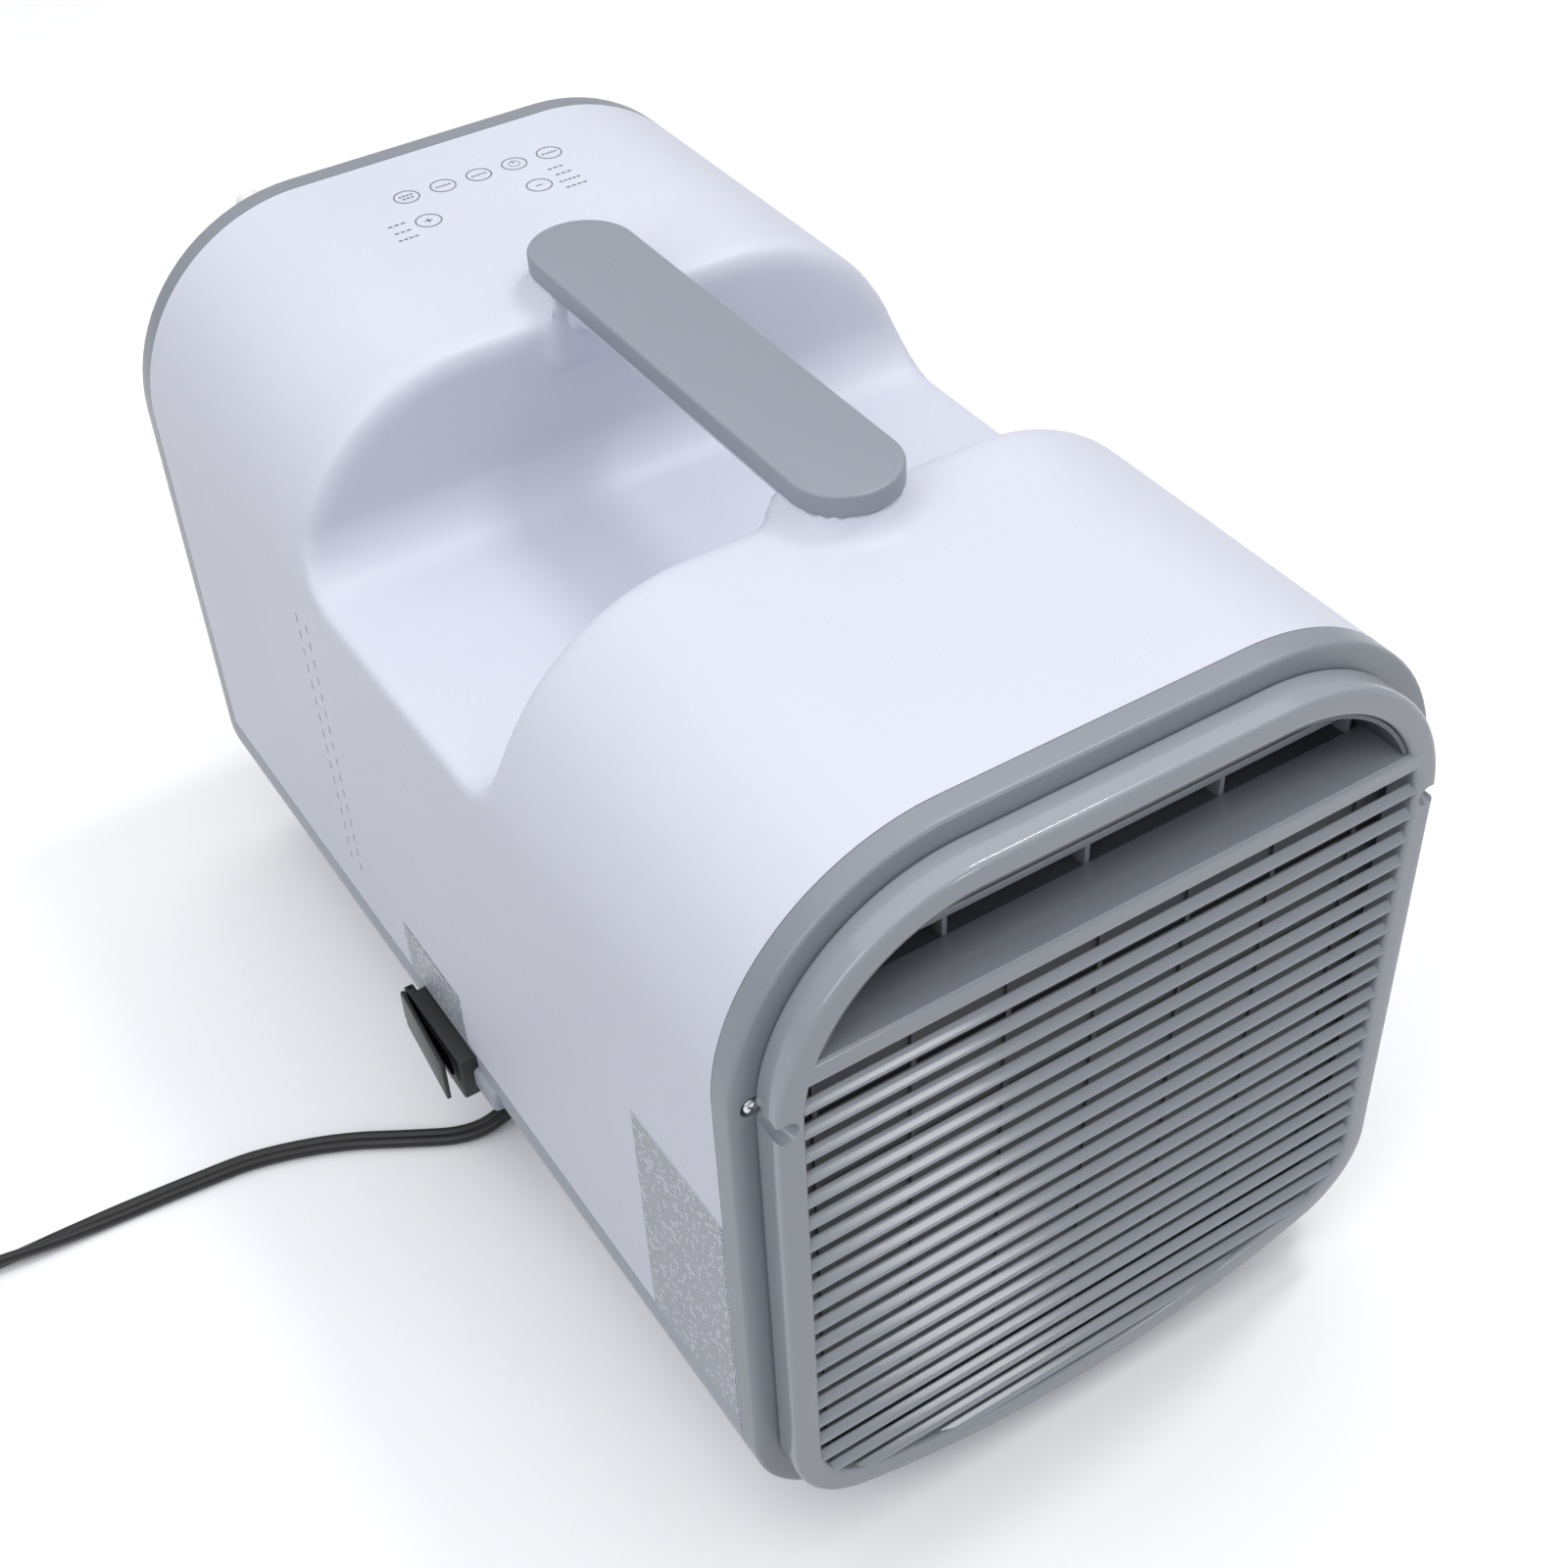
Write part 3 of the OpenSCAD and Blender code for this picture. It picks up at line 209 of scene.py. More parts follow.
# the section stands on edge in the coil and lies flat on the floor and in the connector
run = np.linspace(0, 1, len(lead_in))
on_edge = np.concatenate([np.clip((run - 0.62)/0.3, 0, 1), np.ones(len(turns)),
                          np.linspace(1, 0, len(cord_line) - len(lead_in) - len(turns))])
on_edge = on_edge*on_edge*(3 - 2*on_edge)*math.pi/2
lobes = []
for side in (1, -1):
    for a in np.radians(np.linspace(-142, 142, 12)):
        lobes.append((side*(2.1 + 2.4*math.cos(a)), side*2.4*math.sin(a)))
rings = []
for i, point in enumerate(cord_line):
    ahead = cord_line[min(i + 1, len(cord_line) - 1)] - cord_line[max(i - 1, 0)]
    across = np.array([-ahead[1], ahead[0], 0])/math.hypot(ahead[0], ahead[1])
    rise = np.cross(ahead/np.linalg.norm(ahead), across)
    wide = across*math.cos(on_edge[i]) + rise*math.sin(on_edge[i])
    thick = rise*math.cos(on_edge[i]) - across*math.sin(on_edge[i])
    rings.append([point + u*wide + v*thick for u, v in lobes])
cord = loft("power_lead", rings, cord_pvc, sharp=80)
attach(cord, "case")
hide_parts("power_cord", "cord_coil", "cord_tail")

# ---- Floor and light ----
# A pale matt floor runs out to a white surround. A wide soft ceiling lights the top,
# a fill lights the left side, and a narrow softbox draws streaks on the louvres.
floor_paint, tree, shader = new_material("matt white floor paint")
spot = node(tree, "ShaderNodeTexCoord").outputs["Object"]
roller = node(tree, "ShaderNodeTexNoise", {"Scale": 300.0, "Detail": 3.0}, Vector=spot)
stipple = node(tree, "ShaderNodeBump", {"Strength": 0.05, "Distance": 0.0002},
               Height=roller.outputs["Fac"])
shader.inputs["Base Color"].default_value = linear("#fdfdfe")
shader.inputs["Roughness"].default_value = 0.9
tree.links.new(stipple.outputs["Normal"], shader.inputs["Normal"])
floor_mesh = bpy.data.meshes.new("floor")
floor_mesh.from_pydata([(-9, -9, -0.0005), (9, -9, -0.0005), (9, 9, -0.0005), (-9, 9, -0.0005)],
                       [], [(0, 1, 2, 3)])
floor_mesh.materials.append(floor_paint)
floor = bpy.data.objects.new("floor", floor_mesh)
scene.collection.objects.link(floor)
floor.visible_diffuse = False

world = bpy.data.worlds.new("studio")
scene.world = world
world.use_nodes = True
world.node_tree.nodes["Background"].inputs["Color"].default_value = linear("#fbfcff")
world.node_tree.nodes["Background"].inputs["Strength"].default_value = 0.5
scene.view_settings.view_transform = "Standard"


def soft_light(name, spot, aim, width, height, power, colour="#ffffff"):
    """An area light that looks at a point"""
    lamp = bpy.data.lights.new(name, "AREA")
    lamp.shape = "RECTANGLE"
    lamp.size, lamp.size_y, lamp.energy, lamp.color = width, height, power, linear(colour)[:3]
    made = bpy.data.objects.new(name, lamp)
    made.location = spot
    made.rotation_euler = (Vector(aim) - Vector(spot)).to_track_quat("-Z", "Y").to_euler()
    scene.collection.objects.link(made)


soft_light("ceiling", (0, 0, 3), (0, 0, 0), 5, 5, 70)
soft_light("strip", (0.9, -0.1, 2.4), (0, -0.27, 0.33), 0.16, 0.5, 12)
soft_light("fill", (-2.1, -0.75, 1.8), (0, 0, 0.2), 1.4, 1.4, 19, "#f8faff")
soft_light("streak", (0.40, -1.46, 0.44), (0, -0.2, 0.2), 0.14, 0.5, 1.6)

# ---- White shell ----
# Sides, top, hand space and bridge in one matt white ABS moulding, which slides
# over the chassis and is closed by a ring at each end. Vent slots pierce its left wall.
half_w, shell_len, shell_z, top_z = 145.0, 475.0, 78.225, 340.225
corner_r, belly_corner_r, belly_r, corner_z = 85.0, 50.0, 354.0, 73.225
top_cx, belly_cx = half_w - corner_r, half_w - belly_corner_r
belly_z = 8.0 + belly_r
scoop_mid, scoop_half, scoop_z, scoop_r = 230.5, 80.5, top_z - 78, 24.0
grip_mid, grip_len, grip_w, grip_z = 232.5, 228.0, 44.0, 349.725
bridge_half, bridge_r, bridge_t, neck_z = grip_len/2 - 9, 14, 13, 325
# white ABS from a finely etched mould: an even, cool white with no sharp reflection
shell_abs = moulded("matt white ABS shell", "#d0d2dd", "#cccedb", (0.42, 0.52), 0.9, 0.02)


def soft_least(a, b, k):
    """The lesser of two distances, with the corner between them filleted"""
    h = np.clip(k - np.abs(a - b), 0, None)/k
    return np.minimum(a, b) - h*h*k/4


def bar(x, along, half_len, r):
    """Distance to a round-ended bar in plan"""
    return np.hypot(x, np.clip(np.abs(along) - (half_len - r), 0, None)) - r


def rounded(u, v):
    """Distance to a square corner from the distances to its two sides"""
    return np.hypot(np.clip(u, 0, None), np.clip(v, 0, None)) + np.minimum(np.maximum(u, v), 0)


def slab(flat, low, high, z, soft):
    """Distance to a plan shape standing between two heights, with softened edges"""
    return rounded(flat + soft, np.abs(z - (low + high)/2) - (high - low)/2 + soft) - soft


def shell_distance(p):
    """Distance in mm from the outer face of the shell, less than zero inside"""
    x, y, z = p
    qx, qz = np.abs(x) - top_cx, z - (top_z - corner_r)
    body = rounded(qx, qz) - corner_r
    sy, sz = np.abs(y - scoop_mid) - (scoop_half - scoop_r), scoop_z + scoop_r - z
    scoop = rounded(sy, sz) - scoop_r
    soft = 5 + 5*np.clip((z - scoop_z - 4)/34, 0, 1)
    cut = -soft_least(-body, scoop, soft)
    core = slab(bar(x, y - grip_mid, bridge_half, bridge_r), grip_z - bridge_t, grip_z, z, 2.5)
    neck = slab(bar(x, y - grip_mid, grip_len/2 - 1, grip_w/2 - 1), neck_z, grip_z, z, 1)
    neck = np.maximum(neck, scoop_half - np.abs(y - scoop_mid))
    return soft_least(cut, np.minimum(core, neck), 14)


# the distances fill a grid, their zero surface becomes quads, and each corner is then
# pulled onto the true surface; planes just inside the joints trim the ends and the foot
cell = 3.4
grid_low = np.array([-half_w - 6, -9, 66])
grid_high = np.array([half_w + 6, shell_len + 9, 356])
counts = np.ceil((grid_high - grid_low)/cell).astype(int)
spots = np.stack(np.meshgrid(*[grid_low[i] + cell*np.arange(counts[i]) for i in range(3)],
                             indexing="ij"))
field = openvdb.FloatGrid(20.0)
field.copyFromArray(shell_distance(spots).astype(np.float32))
points, quads = field.convertToQuads(isovalue=0)
points = grid_low + points*cell
for _ in range(3):
    reach = shell_distance(points.T)
    slope = np.stack([(shell_distance((points + h).T) - shell_distance((points - h).T))/0.4
                      for h in np.eye(3)*0.2], axis=1)
    points = points - slope*(reach/np.maximum((slope**2).sum(1), 0.2))[:, None]
skin = bmesh.new()
corners = [skin.verts.new(p) for p in points]
for quad in quads:
    skin.faces.new([corners[i] for i in quad])
seam = 0.35
for co, no in (((0, seam, 0), (0, -1, 0)), ((0, shell_len - seam, 0), (0, 1, 0)),
               ((0, 0, shell_z + seam), (0, 0, -1))):
    bmesh.ops.bisect_plane(skin, geom=skin.verts[:] + skin.edges[:] + skin.faces[:], dist=1e-4,
                           plane_co=co, plane_no=no, clear_outer=True)
loose = [v for v in skin.verts if not v.link_faces]
bmesh.ops.delete(skin, geom=loose, context="VERTS")
for v in skin.verts:
    v.co = v.co/1000 + home
bmesh.ops.recalc_face_normals(skin, faces=skin.faces)
top_face = max(skin.faces, key=lambda f: f.calc_center_median().z)
if top_face.normal.z < 0:
    bmesh.ops.reverse_faces(skin, faces=skin.faces)
shell_mesh = bpy.data.meshes.new("shell_cover")
skin.to_mesh(shell_mesh)
skin.free()
shell = bpy.data.objects.new("shell_cover", shell_mesh)
scene.collection.objects.link(shell)
shell_wall = shell.modifiers.new("wall", "SOLIDIFY")
shell_wall.thickness, shell_wall.offset = 0.0024, -1

# a tree that sets a piece on every point, with the point's own size and a random turn
setter = bpy.data.node_groups.new("set_on_points", "GeometryNodeTree")
for kind, name in (("Geometry", "Places"), ("Object", "Piece"), ("Material", "Finish"),
                   ("Vector", "Turn about")):
    setter.interface.new_socket(name, in_out="INPUT", socket_type="NodeSocket" + kind)
setter.interface.new_socket("Pieces", in_out="OUTPUT", socket_type="NodeSocketGeometry")
given = node(setter, "NodeGroupInput")
piece = node(setter, "GeometryNodeObjectInfo", {"transform_space": "ORIGINAL"},
             Object=given.outputs["Piece"])
size = node(setter, "GeometryNodeInputNamedAttribute",
            {"data_type": "FLOAT_VECTOR", "Name": "size"})
chance = node(setter, "FunctionNodeRandomValue",
              {"data_type": "FLOAT", 2: 0.0, 3: 1.0, "Seed": 7})
turned = node(setter, "ShaderNodeVectorMath", {"operation": "SCALE"},
              i0=given.outputs["Turn about"], Scale=chance.outputs[1])
spread = node(setter, "GeometryNodeInstanceOnPoints", Points=given.outputs["Places"],
              Instance=piece.outputs["Geometry"], Rotation=turned.outputs[0],
              Scale=size.outputs["Attribute"])
solid = node(setter, "GeometryNodeRealizeInstances", Geometry=spread.outputs["Instances"])
dressed = node(setter, "GeometryNodeSetMaterial", Geometry=solid.outputs["Geometry"],
               Material=given.outputs["Finish"])
node(setter, "NodeGroupOutput", Pieces=dressed.outputs["Geometry"])


def evaluated_mesh(thing):
    """A new mesh of an object with its modifiers or bevels applied"""
    return bpy.data.meshes.new_from_object(
        thing.evaluated_get(bpy.context.evaluated_depsgraph_get()))


def repeated(name, pattern, places, material, sizes=None, turn=(0, 0, 0), sharp=35):
    """Sets copies of a small mesh, drawn in mm round its own middle, at places in mm"""
    pattern.transform(Matrix.Scale(0.001, 4))
    pattern_object = bpy.data.objects.new(name + "_one", pattern)
    scene.collection.objects.link(pattern_object)
    base = bpy.data.meshes.new(name + "_places")
    base.from_pydata(place(places).tolist(), [], [])
    factors = np.ones((len(places), 3)) if sizes is None else np.asarray(sizes, float)
    sizes_of = base.attributes.new("size", "FLOAT_VECTOR", "POINT").data
    sizes_of.foreach_set("vector", factors.ravel())
    source = bpy.data.objects.new(name + "_source", base)
    scene.collection.objects.link(source)
    grow = source.modifiers.new("set", "NODES")
    grow.node_group = setter
    values = {"Piece": pattern_object, "Finish": material, "Turn about": turn}
    for socket in setter.interface.items_tree:
        if socket.in_out == "INPUT" and socket.name in values:
            grow[socket.identifier] = values[socket.name]
    made = evaluated_mesh(source)
    bpy.data.objects.remove(source)
    bpy.data.objects.remove(pattern_object)
    made.name = name
    return finished(name, made, material, sharp)


def block(sx, sy, sz, bevel=0.0, segments=2):
    """A box mesh in mm round its middle, with rounded edges"""
    work = bmesh.new()
    bmesh.ops.create_cube(work, size=1)
    bmesh.ops.scale(work, vec=(sx, sy, sz), verts=work.verts)
    if bevel:
        bmesh.ops.bevel(work, geom=work.edges[:], offset=bevel, segments=segments,
                        affect="EDGES", profile=0.5)
    mesh = bpy.data.meshes.new("block")
    work.to_mesh(mesh)
    work.free()
    return mesh


def cut_by(target, cutter):
    """Cuts one piece with another and drops the cutter"""
    knife = target.modifiers.new("cut", "BOOLEAN")
    knife.object, knife.operation, knife.solver = cutter, "DIFFERENCE", "EXACT"
    mesh = evaluated_mesh(target)
    target.modifiers.clear()
    target.data = mesh
    bpy.data.objects.remove(cutter)


vent_columns, vent_rows, vent_low, vent_pitch = (316.6, 326.6), 16, shell_z + 26.25, 8.9
slots = repeated("vent_slots", block(12, 1.2, 4.5),
                 [(-half_w, y, vent_low + vent_pitch*row)
                  for y in vent_columns for row in range(vent_rows)], shell_abs)
cut_by(shell, slots)
smooth(shell.data, 40)
shell.data.materials.clear()
shell.data.materials.append(shell_abs)
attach(shell, "case")
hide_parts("shell")


def section(inset, low=-999.0, high=999.0, fine=1):
    """The body's outline set in by some mm, as (x, z) points kept between two heights"""
    lean = math.atan2(belly_cx, belly_z - corner_z)
    arcs = [(top_cx, top_z - corner_r, corner_r, 0, math.pi/2, 20*fine),
            (-top_cx, top_z - corner_r, corner_r, math.pi/2, math.pi, 20*fine),
            (-belly_cx, corner_z, belly_corner_r, math.pi, 1.5*math.pi - lean, 14*fine),
            (0, belly_z, belly_r, 1.5*math.pi - lean, 1.5*math.pi + lean, 22*fine),
            (belly_cx, corner_z, belly_corner_r, 1.5*math.pi + lean, 2*math.pi, 14*fine)]
    out = []
    for cx, cz, r, a0, a1, n in arcs:
        angles = np.linspace(a0, a1, n + 1)
        for a in angles[1:-1] if r == belly_r else angles:
            out.append((cx + (r - inset)*math.cos(a), cz + (r - inset)*math.sin(a)))
    return [p for p in out if low <= p[1] <= high]


# ---- Base tray ----
# The grey lower half of the case: a satin ABS moulding with a bowed underside,
# screwed up into the chassis. Its left wall is cut away round the power inlet.

# grey ABS with a satin grain: a broad dull sheen along the lower corner
tray_abs = moulded("satin grey ABS tray", "#9da2ac", "#969ba6", (0.4, 0.5), 0.9, 0.03)
rim, tray_wall, middle_z = shell_z - seam, 2.4, 200


def from_left(points):
    """Section points in order from the left end, round the underside, to the right end"""
    return sorted(points, key=lambda p: math.atan2(-p[0], p[1] - middle_z) % (2*math.pi))


def around(count, start=0.0):
    """Angles of a full turn, without the last one"""
    return np.linspace(start, 2*math.pi, count + 1)[:-1]


def tray_line(inset):
    """The tray's section, with its two ends at the rim"""
    return from_left([(-half_w + inset, rim), (half_w - inset, rim)]
                     + section(inset, high=shell_z - 4))


tray = loft("tray_cover", [[(x, y, z) for x, z in tray_line(0) + tray_line(tray_wall)[::-1]]
                           for y in (seam, 60, 180, 300, 420, shell_len - seam)], tray_abs)
inlet_y, inlet_len, inlet_top, inlet_h = 212.0, 50.0, shell_z - 2, 22.0
inlet_mid = (inlet_y + inlet_len/2, inlet_top - inlet_h/2)
mouth = repeated("inlet_cut", block(20, inlet_len + 0.8, inlet_h + 0.8),
                 [(-half_w, *inlet_mid)], tray_abs)
cut_by(tray, mouth)
smooth(tray.data)
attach(tray, "case")
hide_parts("base_tray")
foot_x, foot_in = 90, 42
for x in (-foot_x, foot_x):
    for y in (foot_in, shell_len - foot_in):
        side, end = "left" if x < 0 else "right", "front" if y < 200 else "rear"
        boss = loft(f"foot_boss_{side}_{end}",
                    [[(x + r*math.cos(a), y + r*math.sin(a), z) for a in around(39)]
                     for r, z in ((14.2, 9), (15, 9.8), (15, 24))], tray_abs)
        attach(boss, "case")
bulge = repeated("tray_bulge", block(8, 24, 12, 2.6, 4), [(-half_w + 1.6, 206, 64)], tray_abs)
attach(bulge, "case")

# ---- Rings ----
# Two grey ABS frames plug into the ends of the shell and tray; a rounded outer
# edge leaves a thin bright line where each turns from side to face.

# the same ABS, darker and a little smoother than the tray
ring_abs = moulded("satin grey ABS ring", "#888d95", "#82878f", (0.3, 0.4), 0.9, 0.02)


# each ring is 10 mm deep with a 1.5 mm edge, and a tongue 10 mm long plugs into the shell
ring_d, edge_r, tongue_in, bore_in, front_tongue = 10, 1.5, 3.4, 14, 9.9
rear_y = shell_len + ring_d


def ring(name, profile, material, node_name):
    """A frame round the body: the profile's (inset, y) points are carried round the outline"""
    made = loft(name, [[(x, y, z) for x, z in section(inset)] for inset, y in profile],
                material, round_trip=True)
    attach(made, "case")
    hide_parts(node_name)
    return made


def rounded_edge(y, outward):
    """The profile's rounded outer edge, from its side to its face"""
    return [(edge_r*(1 - math.sin(a)), y + outward*edge_r*math.cos(a))
            for a in np.radians((90, 67, 45, 22, 0))]


front_ring = ring("front_frame", [(tongue_in, front_tongue), (tongue_in, 0), (0, 0)]
                  + rounded_edge(edge_r - ring_d, -1)
                  + [(bore_in, -ring_d), (bore_in, front_tongue)], ring_abs, "front_ring")
screw_at = (136.5, 258.5)


def tapered_bore(name, start, end, material):
    """A round cutter between two ends, each given as x, y, z and radius in mm"""
    loops = [[(x + r*math.cos(a), y, z + r*math.sin(a)) for a in around(40)]
             for x, y, z, r in (start, end)]
    return loft(name, loops, material)


for side in (-1, 1):
    cut_by(front_ring, tapered_bore("bore", (side*screw_at[0], -12, screw_at[1], 4.2),
                                    (side*screw_at[0], -3, screw_at[1], 4.2), ring_abs))
smooth(front_ring.data)
rear_step, rear_step_in, rear_tongue = rear_y - 4, 9, shell_len - 10
rear_ring = ring("rear_frame", [(tongue_in, rear_tongue), (tongue_in, shell_len), (0, shell_len)]
                 + rounded_edge(rear_y - edge_r, 1)
                 + [(rear_step_in, rear_y), (rear_step_in, rear_step), (bore_in, rear_step),
                    (bore_in, rear_tongue)], ring_abs, "rear_ring")

# ---- Front panel ----
# A glossy grey ABS frame with an arched air outlet over a wide louvre window.
# Its front edge is rounded; a tapered channel at each side clears a screw.

# grey ABS from a polished mould: softboxes draw clear streaks on its edges and blades
panel_abs = moulded("polished grey ABS panel", "#969aa2", "#90949c", (0.09, 0.17), 3.0, 0.005)
outlet_z, louvre_top, panel_in, rim_in, panel_y = 280.725, 271.725, 9, 19.5, -24.0


def flat_piece(name, outlines, y0, y1, bevel, material, sharp=35, segments=3):
    """A plate from y0 to y1 with holes, every edge rounded; the first outline is the outside"""
    drawing = bpy.data.curves.new(name, "CURVE")
    drawing.dimensions, drawing.fill_mode = "2D", "BOTH"
    drawing.extrude, drawing.bevel_depth = (y1 - y0)/2 - bevel, bevel
    drawing.bevel_resolution, drawing.offset = segments, -bevel
    for outline in outlines:
        line = drawing.splines.new("POLY")
        line.points.add(len(outline) - 1)
        for point, (x, z) in zip(line.points, outline):
            point.co = (x, z, 0, 1)
        line.use_cyclic_u = True
    sketch = bpy.data.objects.new(name + "_drawing", drawing)
    scene.collection.objects.link(sketch)
    mesh = evaluated_mesh(sketch)
    bpy.data.objects.remove(sketch)
    stand = Matrix(((1, 0, 0, 0), (0, 0, -1, (y0 + y1)/2), (0, 1, 0, 0), (0, 0, 0, 1)))
    mesh.transform(Matrix.Translation(home) @ Matrix.Scale(0.001, 4) @ stand)
    mesh.name = name
    return finished(name, mesh, material, sharp)


def upright_width(inset, z):
    """Half the outline's width at a height, set in by some mm"""
    if z > top_z - corner_r:
        r = corner_r - inset
        return top_cx + math.sqrt(max(r*r - (z - top_z + corner_r)**2, 0))
    if z >= corner_z:
        return half_w - inset
    r = belly_corner_r - inset
    edge = belly_cx + math.sqrt(max(r*r - (corner_z - z)**2, 0))
    lean = math.atan2(belly_cx, belly_z - corner_z)
    if z < corner_z - r*math.cos(lean):
        return math.sqrt(max((belly_r - inset)**2 - (belly_z - z)**2, 0))
    return edge


def arch(inset, low):
    """The outline above a height, with its two ends on that height"""
    wide = upright_width(inset, low)
    return [(wide, low)] + section(inset, low=low + 0.2, fine=2) + [(-wide, low)]


louvre_half = upright_width(rim_in, louvre_top)
louvre_line = ([(-louvre_half, louvre_top)]
               + from_left(section(rim_in, high=louvre_top - 0.2, fine=2))
               + [(louvre_half, louvre_top)])
panel = flat_piece("front_frame_panel", [section(panel_in, fine=2), arch(rim_in, outlet_z), louvre_line],
                   panel_y, -ring_d, 2.0, panel_abs)
for side in (-1, 1):
    cut_by(panel, tapered_bore("channel", (side*132.2, -26, 256.3, 4.5),
                               (side*136, -8, 258.4, 3.7), panel_abs))
smooth(panel.data)
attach(panel, "case")
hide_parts("front_panel")

# ---- Louvres ----
# Twenty-odd curved blades are moulded with the panel. Each rises to the back from a
# narrow nose and ends low, so a dark gap shows under the next one. A dark net behind adds painted shade
# to the gaps.
pitch = 11.45
face = [(-23.9, 0.4), (-23.9, 1.0), (-23.5, 1.8), (-22.7, 2.9), (-22.0, 3.8), (-21.6, 4.2),
        (-21.2, 4.3)]
back = [(-20.9, 4.0), (-21.0, 3.3), (-21.8, 1.9), (-22.6, 0.8), (-23.1, 0.2), (-23.5, 0.1)]
blade_line, blade_half = [(y - panel_y, z) for y, z in face + back], 100
blade = bpy.data.meshes.new("blade")
n = len(blade_line)
blade.from_pydata([(x*blade_half, y, z) for x in (-1, 1) for y, z in blade_line], [],
                  [(k, (k + 1) % n, n + (k + 1) % n, n + k) for k in range(n)]
                  + [tuple(range(n))[::-1], tuple(range(n, 2*n))])
blade_z = [louvre_top - pitch*(i + 1) for i in range(23)]
blade_z = [z for z in blade_z if z > 12]
# the lowest blades keep the width the window has at its rounded foot
widths = [upright_width(rim_in - 1, max(z + 3, 27.5)) for z in blade_z]
louvres = repeated("louvre_blades", blade, [(0, panel_y, z) for z in blade_z], panel_abs,
                   [(w/blade_half, 1, 1) for w in widths], sharp=28)
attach(louvres, "case")
# woven nylon, dull, with a dark tone that is partly painted shade deepening the louvre gaps
# the net's dark colour is partly painted shade for the gaps between the blades
net_nylon_and_painted_shade = moulded("woven nylon net with painted shade", "#3c3e43", "#303236", (0.55, 0.7), 0.6, 0.05, 1.53)
net_line = from_left(section(20, high=louvre_top - 4))
net = loft("filter_net", [[(x, y, z) for x, z in net_line] for y in (-8.8, -8.4)], net_nylon_and_painted_shade)
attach(net, "case")

# ---- Outlet duct ----
# A grey moulding, darkened with painted shade, lines the outlet behind a level bar and five upright
# ribs;
# the grey floor in front of them belongs to the panel and falls a little inward.

# grey ABS, dull, darkened as painted shade deep inside the outlet where little light reaches
duct_abs_and_painted_shade = moulded("grey moulded duct with painted shade", "#5f6269", "#565960", (0.42, 0.55), 0.9, 0.03)
duct_in, duct_wall, duct_low = rim_in + 0.4, 1.6, 272
duct_line = arch(duct_in, duct_low) + arch(duct_in + duct_wall, duct_low)[::-1]
duct = loft("outlet_tunnel", [[(x, y, z) for x, z in duct_line] for y in (-22, -10, 10, 30)],
            duct_abs_and_painted_shade)
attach(duct, "case")
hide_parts("outlet_duct")


def floor_strip(name, line, material):
    """A thin floor across the outlet that follows (y, z) points"""
    reach = upright_width(duct_in + 0.3, outlet_z)
    loops = [[(side*reach, y, z + down)
              for side, down in ((-1, 0), (1, 0), (1, -1.2), (-1, -1.2))] for y, z in line]
    made = loft(name, loops, material)
    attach(made, "case")


floor_strip("outlet_sill",
            [(-22.6, 280.8), (-18, 281.0), (-11, 280.9), (-5, 280.0), (0, 278.6)],
            panel_abs)
# beyond the ribs the floor takes the duct's colour, darkened as painted shade
floor_strip("outlet_floor", [(0.1, 278.0), (10, 276.6), (20, 275.4), (30, 274.7)],
            duct_abs_and_painted_shade)
bar_low, bar_high, rib_pitch = 290.2, 293.5, 57
# the two outer ribs are short, because the arch is low there
rib_at = [(rib_pitch*i, 4.3, 296.5 if abs(i) < 2 else 281.5) for i in (-2, -1, 0, 1, 2)]
ribs = repeated("outlet_ribs", block(2.2, 8.4, 40, 0.4), rib_at, panel_abs,
                [(1, 1, 1 if abs(x) < 2*rib_pitch else 0.3) for x, y, z in rib_at])
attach(ribs, "case")
cross = repeated("outlet_bar",
                 block(2*upright_width(duct_in + 0.5, bar_high), 3, bar_high - bar_low, 0.4),
                 [(0, -1.5, (bar_low + bar_high)/2)], panel_abs)
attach(cross, "case")

# ---- Grip ----
# A satin grey plate with round ends lies on the bridge and hides its screws.
# All its edges are rounded, so each end shows a thin light line.

# satin ABS, a little bluer and lighter than the rings
grip_abs = moulded("satin cool grey ABS grip", "#8e929c", "#888c97", (0.36, 0.46), 0.9, 0.03)
grip_r, grip_straight = grip_w/2, (grip_len - grip_w)/2
grip_line = [(grip_r*math.cos(a), grip_straight*(1 if math.sin(a) > 0 else -1) + grip_r*math.sin(a))
             for a in around(96, 0.0001)]


def plate_loops(line, middle, low, high, edge):
    """Loops of a level plate whose upper and lower edges are rounded"""
    out = []
    for z, into in [(low, edge), (low + 0.3*edge, 0.3*edge), (low + edge, 0), (high - edge, 0),
                    (high - 0.6*edge, 0.08*edge), (high - 0.3*edge, 0.3*edge),
                    (high - 0.08*edge, 0.6*edge), (high, edge)]:
        narrow, short = 1 - into/(grip_w/2), 1 - into/(grip_len/2)
        out.append([(x*narrow, middle + y*short, z) for x, y in line])
    return out


grip = loft("grip_plate", plate_loops(grip_line, grip_mid, grip_z, grip_z + 9, 1.2), grip_abs)
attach(grip, "case")
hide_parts("handle_grip")

# ---- Touch marks ----
# Thin grey ink rings and marks are printed on the shell over the touch board:
# five keys in a row, two below them, and short dashes where words would be.

